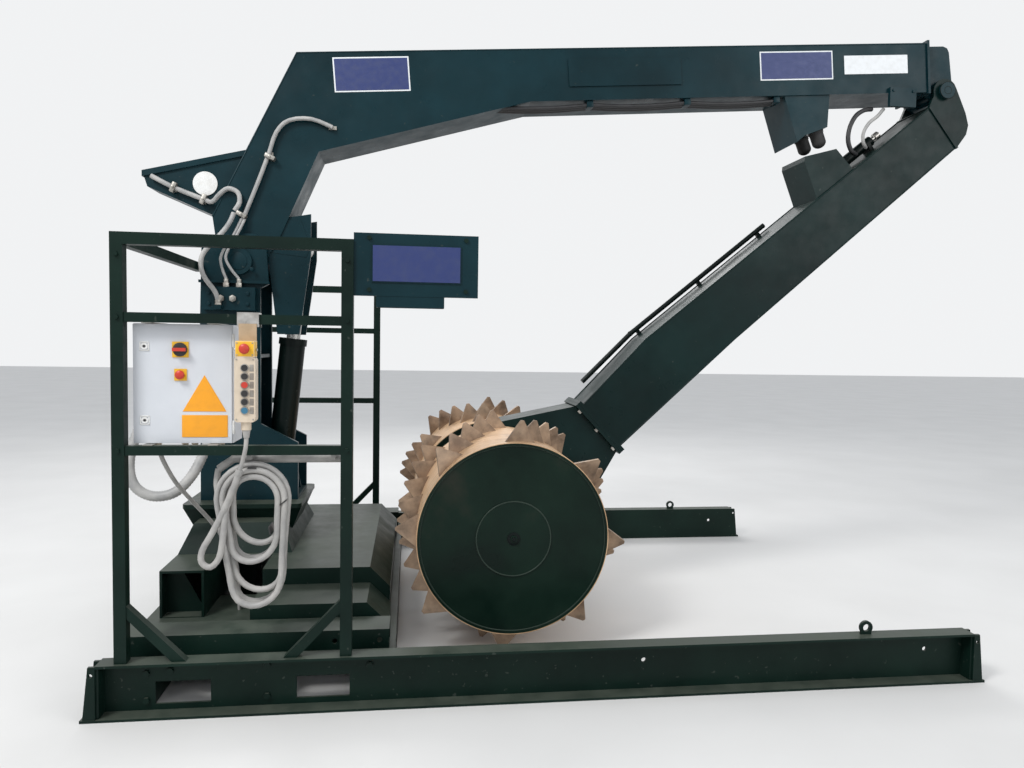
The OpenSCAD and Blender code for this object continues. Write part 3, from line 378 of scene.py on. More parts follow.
feed_cable = tubes("feed_cable", [feed_line], feed_radius, conduit_grey, "base")
print("ribbed hose:", round(run_length(ribbed_line), 2), "m, feed cable:",
      round(run_length(feed_line), 2), "m")

# %% [markdown]
# Bottle green paint
#
# The machine has a coat of very dark green gloss, a little bluer on the column and boom, and light grey
# paint on the cabinet. Real machine paint is never one colour: it fades in broad patches, gathers dust
# where a face looks up, and shows small chips. Each of these is one noise, with its own size, laid over
# the base colour. The pale colour on faces that look up is partly dust and partly painted light, a
# painted highlight of lit top faces. It takes the surface's own direction, so it lies on top faces
# whichever way the view turns.

# %% Paint materials
# Pale grey-green for faces that look up: partly dust and partly painted light of lit top faces.
top_dust_and_light_colour = (0.135, 0.150, 0.120)
chip_colour = (0.06, 0.07, 0.06)


def painted(name, dark, light, dust_and_top_light=0.30, chips=0.62, low_rough=0.24, high_rough=0.46,
            shine=0.15):
    """Gloss machine paint with fading, small chips, and top faces that are dusty and painted lighter as
    if lit.
    """
    material, tree, shader, place = new_material(name)
    paint = ramp(tree, noise(tree, place, 2.2, 5.0, 0.6), [(0.32, dark), (0.68, light)])
    normal = tree.nodes.new("ShaderNodeNewGeometry")
    parts = tree.nodes.new("ShaderNodeSeparateXYZ")
    tree.links.new(normal.outputs["Normal"], parts.inputs["Vector"])
    # Faces that look up are mixed towards the pale top colour: partly dust and partly a painted
    # highlight of lit tops.
    up = span(tree, parts.outputs["Z"], 0.0, 1.0, 0.55, 1.0)
    grime = noise(tree, place, 7.0, 6.0, 0.65)
    top_dust_and_light_mask = tree.nodes.new("ShaderNodeMath")
    top_dust_and_light_mask.operation = "MULTIPLY"
    tree.links.new(up, top_dust_and_light_mask.inputs[0])
    tree.links.new(span(tree, grime, 0.45 * dust_and_top_light, dust_and_top_light, 0.30, 0.72), top_dust_and_light_mask.inputs[1])
    dusty_and_lit_paint = mix(tree, top_dust_and_light_mask.outputs[0], paint, top_dust_and_light_colour)
    specks = noise(tree, place, 38.0, 2.0, 0.5)
    chipped = span(tree, specks, 0.0, 0.5, chips + 0.10, chips + 0.14)
    tree.links.new(mix(tree, chipped, dusty_and_lit_paint, chip_colour), shader.inputs["Base Color"])
    tree.links.new(span(tree, grime, low_rough, high_rough), shader.inputs["Roughness"])
    shader.inputs["Specular IOR Level"].default_value = shine
    bump(tree, shader, noise(tree, place, 150.0, 2.0), 0.12, 0.0008)
    return material


green_paint = painted("green_paint", (0.0020, 0.0150, 0.0195), (0.0050, 0.0265, 0.0340),
                      dust_and_top_light=0.12)
arm_paint = painted("arm_paint", (0.0014, 0.0085, 0.0080), (0.0040, 0.0175, 0.0165), dust_and_top_light=0.14)
frame_paint = painted("frame_paint", (0.0022, 0.0095, 0.0070), (0.0055, 0.0190, 0.0135), dust_and_top_light=0.50,
                      chips=0.60, low_rough=0.30, high_rough=0.55)
cylinder_paint = painted("cylinder_paint", (0.0014, 0.0042, 0.0038), (0.0034, 0.0085, 0.0075),
                         dust_and_top_light=0.10)
cabinet_paint = painted("cabinet_paint", (0.54, 0.56, 0.59), (0.62, 0.64, 0.67), dust_and_top_light=0.2,
                        chips=0.68, low_rough=0.32, high_rough=0.45, shine=0.5)
# The drum's ring welds get a lighter green than the disc round them: a painted highlight, as if their
# edges caught the light.
weld_highlight_paint = painted("weld_highlight_paint", (0.020, 0.034, 0.026), (0.040, 0.058, 0.045), dust_and_top_light=0.3)
print("paints:", green_paint.name, arm_paint.name, frame_paint.name, cylinder_paint.name,
      cabinet_paint.name, weld_highlight_paint.name)

# %% [markdown]
# Bare and worn steel
#
# The drum's shell and teeth are bare steel, rubbed tan by cardboard and weather. Waste drags round the
# shell, so its scratches run round it: a noise that is fine along the axle and long around it. The end
# disc and rim of the same solid are painted, so the colour changes just inside the shell's face,
# measured from the axle.

# %% Steel materials
rust_colour = (0.16, 0.085, 0.045)
shell_inside = 0.490


def steel(name, dark, light, metal, low_rough, high_rough, scale=9.0):
    """Bare steel with worn patches and rust shades."""
    material, tree, shader, place = new_material(name)
    patches = noise(tree, place, scale, 5.0, 0.6)
    blots = noise(tree, place, 5.0, 6.0, 0.6)
    tone = ramp(tree, patches, [(0.3, dark), (0.7, light)])
    rust = mix(tree, span(tree, blots, 0.0, 0.55, 0.5, 0.72), tone, rust_colour)
    tree.links.new(rust, shader.inputs["Base Color"])
    shader.inputs["Metallic"].default_value = metal
    tree.links.new(span(tree, patches, low_rough, high_rough), shader.inputs["Roughness"])
    bump(tree, shader, patches, 0.25, 0.0010)
    return material


tooth_steel = steel("tooth_steel", (0.13, 0.090, 0.062), (0.46, 0.33, 0.225), 0.45, 0.34, 0.55)
bright_steel = steel("bright_steel", (0.38, 0.37, 0.35), (0.66, 0.65, 0.62), 0.9, 0.25, 0.42,
                     scale=22.0)
zinc_steel = steel("zinc_steel", (0.30, 0.29, 0.26), (0.50, 0.48, 0.44), 0.8, 0.35, 0.5)


def drum_skin(name):
    """Worn steel on the shell, and dark green paint inside it."""
    material, tree, shader, place = new_material(name)
    parts = tree.nodes.new("ShaderNodeSeparateXYZ")
    tree.links.new(place, parts.inputs["Vector"])
    flat = tree.nodes.new("ShaderNodeCombineXYZ")
    tree.links.new(parts.outputs["X"], flat.inputs["X"])
    tree.links.new(parts.outputs["Z"], flat.inputs["Z"])
    reach = tree.nodes.new("ShaderNodeVectorMath")
    reach.operation = "DISTANCE"
    reach.inputs[1].default_value = drum_centre
    tree.links.new(flat.outputs["Vector"], reach.inputs[0])
    outside = span(tree, reach.outputs["Value"], 0.0, 1.0, shell_inside - 0.0005,
                   shell_inside + 0.0005)
    rings = noise(tree, place, 4.0, 6.0, 0.65, (1.0, 26.0, 1.0))
    blots = noise(tree, place, 4.2, 6.0, 0.62)
    bare = ramp(tree, rings, [(0.28, (0.38, 0.235, 0.13)), (0.5, (0.62, 0.41, 0.24)),
                              (0.74, (0.82, 0.57, 0.37))])
    bare = mix(tree, span(tree, blots, 0.0, 0.5, 0.52, 0.75), bare, (0.17, 0.10, 0.06))
    stain = noise(tree, place, 3.0, 7.0, 0.6)
    disc = ramp(tree, stain, [(0.35, (0.002, 0.009, 0.006)), (0.6, (0.005, 0.017, 0.011)),
                              (0.8, (0.022, 0.025, 0.018))])
    tree.links.new(mix(tree, outside, disc, bare), shader.inputs["Base Color"])
    tree.links.new(span(tree, outside, 0.0, 0.25, 0.0, 1.0), shader.inputs["Metallic"])
    shader.inputs["Specular IOR Level"].default_value = 0.14
    tree.links.new(span(tree, stain, 0.24, 0.48), shader.inputs["Roughness"])
    bump(tree, shader, rings, 0.2, 0.0010)
    return material


drum_steel = drum_skin("drum_steel")
print("steels:", tooth_steel.name, bright_steel.name, zinc_steel.name, drum_steel.name)

# %% [markdown]
# Plastics of the controls
#
# Knobs and buttons are moulded, so their colour is even. What makes them plastic is a soft highlight
# with a slight grain, and a little soiling from gloved hands. The rubber buffers, the webbing strap and
# the blank plates have the same build with other numbers.

# %% Plastic materials
def moulded(name, colour, soil, low_rough=0.32, high_rough=0.5):
    """An even colour, soiled in places."""
    material, tree, shader, place = new_material(name)
    hands = noise(tree, place, 30.0, 4.0)
    tree.links.new(mix(tree, span(tree, hands, 0.0, 0.35, 0.45, 0.75), colour, soil),
                   shader.inputs["Base Color"])
    tree.links.new(span(tree, hands, low_rough, high_rough), shader.inputs["Roughness"])
    bump(tree, shader, noise(tree, place, 600.0, 1.0), 0.15, 0.0004)
    return material


black_plastic = moulded("black_plastic", (0.016, 0.016, 0.017), (0.05, 0.046, 0.04))
red_plastic = moulded("red_plastic", (0.52, 0.035, 0.018), (0.30, 0.05, 0.03))
yellow_plastic = moulded("yellow_plastic", (0.78, 0.44, 0.02), (0.50, 0.31, 0.06))
blue_plastic = moulded("blue_plastic", (0.035, 0.16, 0.26), (0.03, 0.09, 0.12))
grey_plastic = moulded("grey_plastic", (0.62, 0.52, 0.40), (0.42, 0.34, 0.25))
white_plastic = moulded("white_plastic", (0.72, 0.72, 0.70), (0.46, 0.43, 0.38))
label_orange = moulded("label_orange", (0.86, 0.35, 0.012), (0.66, 0.27, 0.02))
tan_webbing = moulded("tan_webbing", (0.42, 0.31, 0.20), (0.24, 0.17, 0.10), 0.6, 0.85)
buffer_rubber = moulded("buffer_rubber", (0.014, 0.014, 0.014), (0.03, 0.027, 0.024), 0.6, 0.8)
field_blue = moulded("field_blue", (0.016, 0.030, 0.125), (0.035, 0.048, 0.11), 0.35, 0.5)
field_white = moulded("field_white", (0.70, 0.72, 0.73), (0.55, 0.55, 0.53), 0.35, 0.5)
print("plastics are ready")

# %% [markdown]
# Dressing the CAD solids
#
# A CAD node that already has the right shape keeps it and only takes a material. One table says which
# node gets which finish, so a wrong one is easy to find.

# %% Give every CAD node its finish
finishes = {
    green_paint: ["column", "boom_pin", "boom", "boom_head", "rear_lever", "boom_bracket", "head_cover",
                  "sign_board"],
    arm_paint: ["dipper", "dipper_head", "dipper_bracket", "drum_carrier"],
    frame_paint: ["frame_bolts", "rail_front", "rail_rear", "end_shoes", "lifting_eyes", "cross_beams",
                  "base_box", "side_beams", "pedestal", "guard_front", "guard_rear"],
    cylinder_paint: ["lift_barrel", "lock_barrel", "arm_pipe"],
    cabinet_paint: ["cabinet_case", "cabinet_door"],
    tooth_steel: ["drum_teeth"],
    drum_steel: ["drum_front", "drum_rear", "drum_hubs"],
    bright_steel: ["lift_rod", "lock_rod", "drum_axle", "pendant_hook"],
    zinc_steel: ["flange_bolts", "hose_clamps", "cabinet_brackets"],
    conduit_grey: ["conduit"],
    black_plastic: ["button_1", "button_2", "button_4", "button_5"],
    red_plastic: ["isolator_knob", "estop_button", "pendant_estop", "button_3"],
    yellow_plastic: ["switch_plates"],
    blue_plastic: ["button_6"],
    grey_plastic: ["pendant_body"],
    white_plastic: ["lever_cap", "latch_upper", "latch_lower"],
    tan_webbing: ["pendant_strap"],
    buffer_rubber: ["buffer"],
    cable_grey: ["boom_hoses", "cable_lead", "cable_hank", "loop_hose"],
}
dressed = set()
for material, names in finishes.items():
    for name in names:
        nodes[name].data.materials.clear()
        nodes[name].data.materials.append(material)
        dressed.add(name)
print("dressed:", len(dressed), "left:", sorted(set(nodes) - dressed))

# %% [markdown]
# The floor and the light
#
# The machine is dark and glossy, so it is read by what it mirrors. One large soft lamp stands high on
# the left, a second fills the right, a third stands behind, and a pale world lights the rest. A world
# can be one colour for the lighting and another for what is seen: here the camera and the glossy
# surfaces see a plain pale grey. The floor is pale and plain, and only keeps the shadow.

# %% Floor
bm = bmesh.new()
bmesh.ops.create_grid(bm, x_segments=1, y_segments=1, size=40.0)
floor_mesh = bpy.data.meshes.new("floor")
bm.to_mesh(floor_mesh)
bm.free()
floor = show("floor", floor_mesh)
floor_paint, tree, shader, place = new_material("floor_paint")
tree.links.new(ramp(tree, noise(tree, place, 1.2, 4.0), [(0.3, (0.64, 0.63, 0.61)),
                                                        (0.7, (0.68, 0.67, 0.65))]),
               shader.inputs["Base Color"])
shader.inputs["Roughness"].default_value = 0.8
floor_mesh.materials.append(floor_paint)
print("floor is laid")

# %% World
bpy.context.scene.view_settings.view_transform = "Standard"
world = bpy.data.worlds.new("world")
bpy.context.scene.world = world
world.use_nodes = True
sky = world.node_tree
light = sky.nodes["Background"]
light.inputs["Color"].default_value = (0.86, 0.90, 0.96, 1.0)
light.inputs["Strength"].default_value = 0.85
seen = sky.nodes.new("ShaderNodeBackground")
seen.inputs["Color"].default_value = (0.88, 0.89, 0.90, 1.0)
seen.inputs["Strength"].default_value = 1.0
rays = sky.nodes.new("ShaderNodeLightPath")
sees = rays.outputs["Is Camera Ray"]
for kind in ("Is Glossy Ray", "Is Transmission Ray"):
    either = sky.nodes.new("ShaderNodeMath")
    either.operation = "ADD"
    either.use_clamp = True
    sky.links.new(sees, either.inputs[0])
    sky.links.new(rays.outputs[kind], either.inputs[1])
    sees = either.outputs[0]
both = sky.nodes.new("ShaderNodeMixShader")
sky.links.new(sees, both.inputs["Fac"])
sky.links.new(light.outputs["Background"], both.inputs[1])
sky.links.new(seen.outputs["Background"], both.inputs[2])
sky.links.new(both.outputs["Shader"], sky.nodes["World Output"].inputs["Surface"])
print("world has", len(sky.nodes), "nodes")

# %% Lamps
def lamp(name, place, aim, size, power):
    """A soft rectangular lamp that looks at a point."""
    data = bpy.data.lights.new(name, "AREA")
    data.shape = "RECTANGLE"
    data.size, data.size_y = size
    data.energy = power
    obj = show(name, data)
    obj.location = place
    obj.rotation_euler = (Vector(aim) - Vector(place)).to_track_quat("-Z", "Y").to_euler()
    print(name, "lamp:", power, "W")


lamp("key", (-3.5, -5.0, 7.5), (1.5, 0.0, 1.2), (2.4, 2.4), 540)
lamp("fill", (7.5, -6.0, 4.5), (1.8, 0.0, 1.2), (4.0, 4.0), 160)
lamp("rim", (1.5, 6.5, 6.5), (1.5, 0.0, 1.5), (5.0, 2.5), 240)

# %% [markdown]
# Helpers for small metal pieces
#
# Bolts, plates and fittings all start as a cube or a cone from bmesh, get a bevel, because a real edge
# is never sharp enough to vanish, and are moved to their place. Each group of like pieces is one mesh.

# %% Helpers for modelled pieces
sharp_angle = math.radians(35)
boom_pitch = math.radians(4.5)
boom_corner = Vector((0.315, 0, 3.253))
boom_turn = Matrix.Rotation(-boom_pitch, 3, "Y")


def soften(bm, older, edges, width, segments):
    """Bevels the edges of the newest piece and returns all its corners."""
    bmesh.ops.bevel(bm, geom=edges, offset=width, offset_type="OFFSET", affect="EDGES",
                    segments=segments, profile=0.5, material=-1)
    return [v for v in bm.verts if v not in older]


def add_box(bm, low, high, bevel, segments=2, turned=None):
    """A beveled block between two corners, turned about its middle if asked."""
    low, high = Vector(low), Vector(high)
    older = set(bm.verts)
    made = bmesh.ops.create_cube(bm, size=1.0)["verts"]
    bmesh.ops.scale(bm, verts=made, vec=high - low)
    made = soften(bm, older, list({e for v in made for e in v.link_edges}), bevel, segments)
    if turned is not None:
        bmesh.ops.rotate(bm, verts=made, cent=(0, 0, 0), matrix=turned)
    bmesh.ops.translate(bm, verts=made, vec=(low + high) / 2)


def add_rod(bm, start, end, radius, sides, bevel, end_radius=None):
    """A round or hexagonal bar, or a cone, between two points."""
    start, end = Vector(start), Vector(end)
    way = end - start
    older = set(bm.verts)
    made = bmesh.ops.create_cone(bm, cap_ends=True, segments=sides, radius1=radius,
                                 radius2=radius if end_radius is None else end_radius,
                                 depth=way.length)["verts"]
    rims = [e for e in {e for v in made for e in v.link_edges}
            if sum(len(f.verts) > 4 for f in e.link_faces) == 1]
    made = soften(bm, older, rims, bevel, 2)
    bmesh.ops.rotate(bm, verts=made, cent=(0, 0, 0), matrix=way.to_track_quat("Z", "Y").to_matrix())
    bmesh.ops.translate(bm, verts=made, vec=(start + end) / 2)


def finish_piece(name, bm, material, body):
    """Puts the mesh in the scene, smooth except at its real edges."""
    bmesh.ops.recalc_face_normals(bm, faces=bm.faces)
    for face in bm.faces:
        face.smooth = True
    for edge in bm.edges:
        edge.smooth = len(edge.link_faces) != 2 or edge.calc_face_angle(0.0) < sharp_angle
    mesh = bpy.data.meshes.new(name)
    bm.to_mesh(mesh)
    bm.free()
    mesh.materials.append(material)
    obj = show(name, mesh)
    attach(obj, body)
    print(name, len(mesh.polygons), "faces")


def on_boom(along, down, y):
    """A place on the boom's side view, from the bend's top corner along and down from its top."""
    way = boom_turn @ Vector((along, 0, -down))
    return Vector((boom_corner.x + way.x, y, boom_corner.z + way.z))


print("modelling helpers are ready")

# %% [markdown]
# Plain plates where signs were
#
# The boom, the sign board and the cabinet's door carry stuck-on plates. Here they are generic and
# blank: thin fields set on the steel with no gap, a little faded, and a fine pale border on the boom.
# A field could be a patch of colour in the paint, but a real plate has an edge that catches light.

# %% Blank plates on the boom, the sign board and the door
boom_face = -0.1600
field_lift, border = 0.0002, 0.008
field_thick, border_thick, plate_bevel = 0.0025, 0.0012, 0.0008
blue_fields = ((0.205, 0.625, 0.040, 0.222), (2.800, 3.265, 0.045, 0.205))


def boom_field(bm, along0, along1, down0, down1, face, thick):
    """A thin plate on the boom's near side."""
    middle = on_boom((along0 + along1) / 2, (down0 + down1) / 2, face - thick / 2)
    half = Vector(((along1 - along0) / 2, thick / 2, (down1 - down0) / 2))
    add_box(bm, middle - half, middle + half, plate_bevel, 1, boom_turn)


bm = bmesh.new()
for along0, along1, down0, down1 in blue_fields:
    boom_field(bm, along0, along1, down0, down1, boom_face - field_lift, field_thick)
finish_piece("boom_fields_blue", bm, field_blue, "boom_arm")
bm = bmesh.new()
boom_field(bm, 3.350, 3.780, 0.070, 0.185, boom_face - field_lift, field_thick)
for along0, along1, down0, down1 in blue_fields:
    boom_field(bm, along0 - border, along1 + border, down0 - border, down1 + border, boom_face,
               border_thick)
finish_piece("boom_fields_pale", bm, field_white, "boom_arm")
bm = bmesh.new()
add_box(bm, (0.815, -1.4420, 1.861), (1.187, -1.4388, 2.013), plate_bevel, 1)
finish_piece("sign_field", bm, field_blue, "base")
bm = bmesh.new()
add_box(bm, (0.024, -1.3942, 1.188), (0.210, -1.3920, 1.282), plate_bevel, 1)
finish_piece("door_field", bm, label_orange, "door")

# %% [markdown]
# Welds along the box edges
#
# The boom and dipper are plates welded into boxes. A weld along each long edge is a thin bead that
# catches the light as a fine line. Each bead is a thin tube that is half sunk in the plates, which is
# simpler than bending the box's own edge, and it looks right from every side. Two rings round the arm's
# hinge are made in the same way.

# %% Run the weld beads
seam_y, seam_radius = 0.158, 0.0055
ring_y, ring_radius = 0.1806, 0.0022


def both_sides(points):
    """The same line in the side view on both sides of the box."""
    return [[(x, side * seam_y, z) for x, z in points] for side in (-1, 1)]


def round_line(centre, radius, y, steps):
    """A closed circle in the side view."""
    return [(centre.x + radius * math.cos(math.tau * k / steps), y,
             centre.z + radius * math.sin(math.tau * k / steps)) for k in range(steps + 1)]


boom_top_line = [tuple(on_boom(3.900, 0.002, 0).xz), tuple(on_boom(0.0, 0.002, 0).xz),
                 (-0.152, 2.303)]
dipper_top_line = [(hinge.x - 0.113, hinge.z - 0.117), (hinge.x - 1.944, hinge.z - 1.621),
                   (hinge.x - 2.334, hinge.z - 2.034)]
dipper_low_line = [(hinge.x + 0.081, hinge.z - 0.357), (hinge.x - 1.371, hinge.z - 1.612),
                   (hinge.x - 2.094, hinge.z - 2.283)]
tubes("boom_welds", both_sides(boom_top_line), seam_radius, green_paint, "boom_arm", 2)
tubes("dipper_welds", both_sides(dipper_top_line) + both_sides(dipper_low_line), seam_radius,
      arm_paint, "dipper_arm", 2)
for name, radius in (("hinge_outer_ring", 0.052), ("hinge_inner_ring", 0.024)):
    rings = [round_line(hinge, radius, side * ring_y, 36) for side in (-1, 1)]
    tubes(name, rings, ring_radius, cylinder_paint, "boom_arm", 2)
print("weld beads are laid")

# %% [markdown]
# Hoses under the boom
#
# Three hydraulic hoses run along the underside of the boom, held by small blocks. They sag a little
# between the blocks, as half a sine wave from one block to the next. Blocks and hoses are placed with
# the same two measures, along the boom and down from its top, so they stay on it.

# %% Lay the hose run and its blocks
boom_depth = 0.306
hose_run_start, hose_run_span, hose_run_steps = 1.10, 1.82, 12
steps_between_blocks = 4
underside_hoses = []
for number, y in enumerate((-0.132, -0.106, -0.080)):
    spots = []
    for k in range(hose_run_steps + 1):
        along = hose_run_start + hose_run_span * k / hose_run_steps
        sag = 0.012 * math.sin(math.pi * (k % steps_between_blocks) / steps_between_blocks)
        spots.append(tuple(on_boom(along, boom_depth + 0.022 + 0.003 * number + sag, y)))
    underside_hoses.append(smooth_route(spots, 3))
tubes("boom_underside_hoses", underside_hoses, 0.0115, hose_black, "boom_arm", 2)
bm = bmesh.new()
half = Vector((0.020, 0.045, 0.019))
for along in (1.11, 1.706, 2.32, 2.90):
    middle = on_boom(along, boom_depth + half.z, -0.106)
    add_box(bm, middle - half, middle + half, 0.003, 2, boom_turn)
finish_piece("boom_hose_blocks", bm, green_paint, "boom_arm")

# %% [markdown]
# Hoses of the locking cylinder
#
# Two short hoses cross the hinge between boom and dipper in free loops, so that the arm can fold, since
# a stiff hose would tear off at one end. Each is laid as one mesh tube.

# %% Lay the two crossing hoses
lock_hoses = [
    ("lock_hose_black", hose_black, 0.0145,
     [(3.905, -0.090, 3.150), (3.845, -0.104, 3.136), (3.785, -0.112, 3.095),
      (3.745, -0.114, 3.020), (3.738, -0.112, 2.940), (3.768, -0.100, 2.880),
      (3.815, -0.080, 2.860)]),
    ("lock_hose_grey", cable_grey, 0.0110,
     [(3.975, -0.110, 3.150), (3.930, -0.118, 3.100), (3.872, -0.120, 3.052),
      (3.838, -0.118, 2.990), (3.846, -0.106, 2.935), (3.880, -0.085, 2.905)]),
]
for name, material, radius, spots in lock_hoses:
    line = smooth_route(spots, 5)
    hose = mesh_tube(name, line, radius, material, "boom_arm")
    print(name, round(run_length(line), 3), "m")

# %% [markdown]
# Fittings at the column
#
# A valve block sits on the column under the pivot. Hex fittings screw into it, and the hoses start from
# them, so each fitting takes its place from its hose's first point. A hexagon is a cone with six sides.

# %% Make the fittings
block_face, plate_face = -0.252, 0.217
bm = bmesh.new()
for x, y, z in (thin_loop[0], twin_loop[0]):
    add_rod(bm, (x, y, z - 0.048), (x, y, z - 0.022), 0.017, 6, 0.0015)
    add_rod(bm, (x, y, z - 0.026), (x, y, z), 0.0125, 20, 0.002)
elbow_x, elbow_y, elbow_z = loop[0]
add_rod(bm, (elbow_x, elbow_y, elbow_z - 0.0055), (elbow_x, elbow_y, elbow_z + 0.0045), 0.0185, 6,
        0.0015)
add_rod(bm, (elbow_x, elbow_y, elbow_z + 0.0035),
        (elbow_x - 0.0018, elbow_y - 0.001, elbow_z + 0.0245), 0.0160, 28, 0.0015)
for x in (-0.085, -0.020):
    add_rod(bm, (x, block_face, 1.835), (x, block_face - 0.018, 1.835), 0.020, 6, 0.0015)
    add_rod(bm, (x, block_face - 0.014, 1.835), (x, block_face - 0.032, 1.835), 0.014, 20, 0.002)
finish_piece("valve_fittings", bm, zinc_steel, "base")
bm = bmesh.new()
for x in (-0.150, 0.060):
    for z in (1.865, 1.805):
        add_rod(bm, (x, block_face, z), (x, block_face - 0.010, z), 0.011, 6, 0.001)
for side in (-1, 1):
    face = side * plate_face
    add_rod(bm, (pivot.x, face, pivot.z), (pivot.x, face + side * 0.004, pivot.z), 0.050, 40, 0.002)
    for x, _, z in round_line(pivot, 0.088, 0, 12)[3::4]:
        add_rod(bm, (x, face, z), (x, face + side * 0.012, z), 0.012, 6, 0.001)
finish_piece("pin_plate_bolts", bm, green_paint, "base")

# %% [markdown]
# The pendant and the cabinet close up
#
# The pendant's top block is yellow, with screws round its stop button. Below it, each push button sits
# in a bright ring beside a small blank plate. The cabinet's latches have a white square frame, its
# isolator is a black disc with a red bar, and its door has a blank orange triangle and two hinge pins.
# Each kind of detail is a mesh of its own, because each has a finish of its own.

# %% Dress the pendant
pendant = Vector((0.305, -1.515, 1.532))
key_heights = [-0.044 - 0.035 * number for number in range(6)]


def on_pendant(x, y, z):
    """A place measured from the foot of the pendant's top block, at its front."""
    return pendant + Vector((x, y, z))


bm = bmesh.new()
add_box(bm, on_pendant(-0.0388, -0.0008, 0.0004), on_pendant(0.0388, 0.0588, 0.0668), 0.005, 3)
finish_piece("pendant_top_skin", bm, yellow_plastic, "base")
bm = bmesh.new()
for z in key_heights:
    add_rod(bm, on_pendant(0, 0.0004, z), on_pendant(0, -0.0046, z), 0.0168, 32, 0.001)
for x in (0.046, -0.046):
    add_rod(bm, on_pendant(x, 0.030, 0.030), on_pendant(0.84 * x, 0.030, 0.030), 0.006, 20, 0.001)
finish_piece("pendant_bezels", bm, zinc_steel, "base")
bm = bmesh.new()
x, y, z = thin_lead[0]
add_rod(bm, (x, y, z + 0.0007), (x, y, z - 0.0335), 0.0170, 28, 0.0015, 0.0115)
x, y, z = lead[0]
add_rod(bm, (x + 0.0025, y - 0.0002, z + 0.010), (x - 0.0045, y + 0.0001, z - 0.014), 0.0155, 28,
        0.0015)
finish_piece("pendant_collars", bm, conduit_grey, "base")
bm = bmesh.new()
for half, z in ((0.031, 0.058), (0.031, 0.009), (0.033, -0.010), (0.033, -0.256)):
    for x in (-half, half):
        add_rod(bm, on_pendant(x, 0.001, z), on_pendant(x, -0.0022, z), 0.0032, 16, 0.0005)
finish_piece("pendant_screws", bm, zinc_steel, "base")
bm = bmesh.new()
for z in key_heights:
    add_box(bm, on_pendant(0.0195, -0.0016, z - 0.014), on_pendant(0.0355, 0.0006, z + 0.014), 0.0006)
finish_piece("pendant_blank_plates", bm, zinc_steel, "base")

# %% Dress the cabinet's door
frame_half, frame_bar, frame_reach = 0.0170, 0.0025, 0.019
frame_front, frame_back = -1.3950, -1.3916
pin_x, pin_y, pin_half = 0.2325, -1.3865, 0.028
bm = bmesh.new()
for centre in latch_centres.values():
    for shift in (-frame_half, frame_half):
        x, z = centre.x, centre.z + shift
        add_box(bm, (x - frame_reach, frame_front, z - frame_bar),
                (x + frame_reach, frame_back, z + frame_bar), 0.0012)
        x, z = centre.x + shift, centre.z
        add_box(bm, (x - frame_bar, frame_front, z - frame_reach),
                (x + frame_bar, frame_back, z + frame_reach), 0.0012)
for z in (1.230, 1.600):
    add_rod(bm, (pin_x, pin_y, z - pin_half), (pin_x, pin_y, z + pin_half), 0.0055, 20, 0.001)
finish_piece("door_latch_plates", bm, white_plastic, "door")
for name, centre in latch_centres.items():
    bm = bmesh.new()
    add_rod(bm, (centre.x, -1.3965, centre.z), (centre.x, -1.3980, centre.z), 0.0058, 24, 0.0004)
    finish_piece(name + "_key", bm, black_plastic, name)
bm = bmesh.new()
x, z = isolator_centre.xz
add_rod(bm, (x, -1.3966, z), (x, -1.4052, z), 0.0290, 48, 0.0016)
finish_piece("isolator_disc", bm, black_plastic, "isolator")
bm = bmesh.new()
made = bmesh.ops.create_cone(bm, cap_ends=True, segments=3, radius1=0.103, radius2=0.103,
                             depth=0.0022)["verts"]
bmesh.ops.rotate(bm, verts=made, cent=(0, 0, 0), matrix=Matrix.Rotation(math.radians(90), 3, "X"))
bmesh.ops.translate(bm, verts=made, vec=(0.116, -1.3929, 1.3485))
soften(bm, set(), list(bm.edges), plate_bevel, 1)
finish_piece("door_blank_field", bm, label_orange, "door")

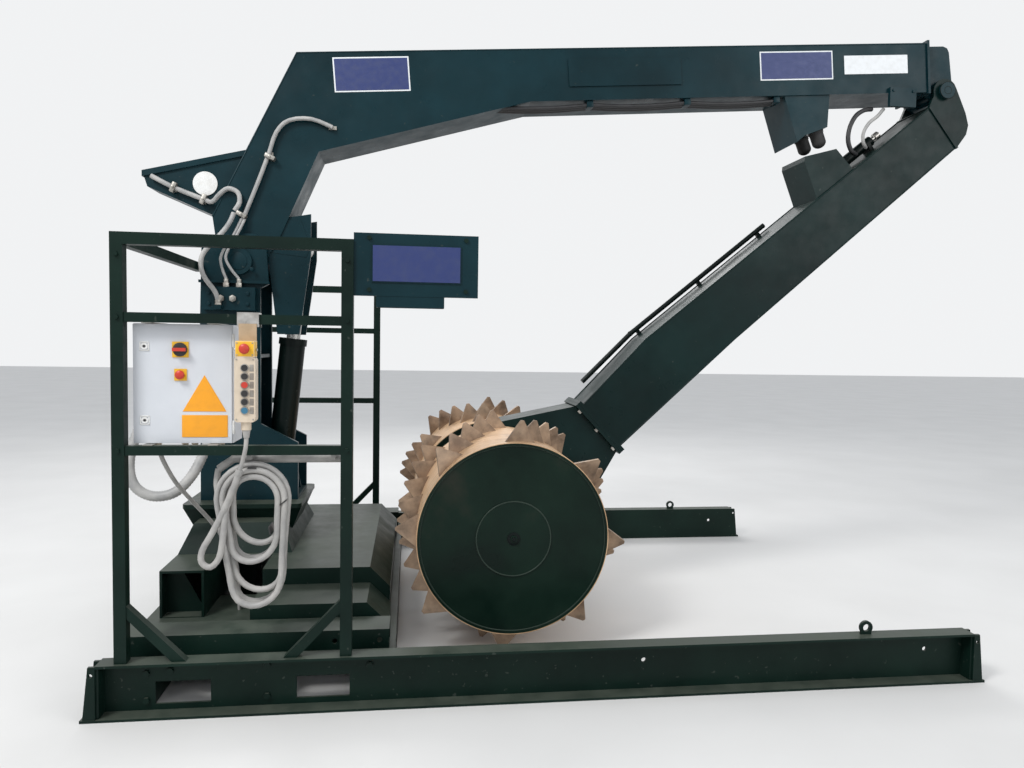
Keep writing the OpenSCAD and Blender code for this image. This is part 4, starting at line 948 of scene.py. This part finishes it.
# %% Glands and collars
gland_y = -1.330
collar_back = -0.1934
bm = bmesh.new()
for x in (-0.120, -0.090, 0.020, 0.060, 0.170):
    add_rod(bm, (x, gland_y, 1.1612), (x, gland_y, 1.153), 0.016, 6, 0.001)
    add_rod(bm, (x, gland_y, 1.154), (x, gland_y, 1.136), 0.0125, 20, 0.0015)
finish_piece("cabinet_glands", bm, grey_plastic, "base")
bm = bmesh.new()
for x, _, z in (ribbed[0], ribbed[-1]):
    add_rod(bm, (x, collar_back, z), (x, collar_back - 0.0066, z), 0.046, 36, 0.0015)
    add_rod(bm, (x, collar_back - 0.0056, z), (x, collar_back - 0.0286, z), 0.0335, 36, 0.002)
finish_piece("ribbed_hose_collars", bm, black_plastic, "base")

# %% [markdown]
# Small fittings on the hoses, the hank and the drum
#
# Black ties hold the hank. Clamp bands with a bolt hold the hoses on the boom and its lever. Each end of
# the drum has two ring welds, and a washer and bolt in the middle. A ring weld is the long weld's thin
# tube again, along a circle.

# %% Ties on the hank
def add_band(bm, middle, half, lean, bevel, segments):
    """A block about a middle, turned by some degrees in the side view."""
    middle, half = Vector(middle), Vector(half)
    turned = Matrix.Rotation(math.radians(-lean), 3, "Y")
    add_box(bm, middle - half, middle + half, bevel, segments, turned)


bm = bmesh.new()
for x, z, lean in ((0.449, 0.917, 40), (0.392, 0.797, 100), (0.320, 1.064, 0)):
    add_band(bm, (x, layers[1], z), (0.018, 0.0445, 0.003), lean, 0.0015, 2)
finish_piece("hank_ties", bm, black_plastic, "base")

# %% Clamps on the boom's hoses
boom_side = [(0.171, 2.648, 66), (0.013, 2.316, 62)]
lever_side = [(-0.369, 2.464, -22), (-0.206, 2.403, -22)]
bm = bmesh.new()
for places, y, deep in ((boom_side, -0.182, 0.024), (lever_side, -0.139, 0.020)):
    for x, z, lean in places:
        add_band(bm, (x, y, z), (0.013, deep, 0.030), lean, 0.006, 3)
        add_rod(bm, (x, y - deep + 0.001, z), (x, y - deep - 0.007, z), 0.008, 6, 0.0008)
finish_piece("boom_hose_bands", bm, zinc_steel, "boom_arm")

# %% Drum centre bolts and ring welds
rings = [round_line(drum_centre, radius, side * y, 96)
         for side in (-1, 1) for radius, y in ((0.4775, 0.9365), (0.1915, 0.9395))]
# The ring welds are in the lighter weld green, a painted highlight on the drum's ends.
tubes("drum_ring_welds", rings, 0.0034, weld_highlight_paint, "drum", 2)
bm = bmesh.new()
x, z = drum_centre.xz
for side in (-1, 1):
    add_rod(bm, (x, side * 0.940, z), (x, side * 0.944, z), 0.034, 40, 0.0012)
    add_rod(bm, (x, side * 0.951, z), (x, side * 0.962, z), 0.013, 6, 0.001)
finish_piece("drum_centre_bolts", bm, cylinder_paint, "drum")

# %% Finish
print("the scene is dressed")
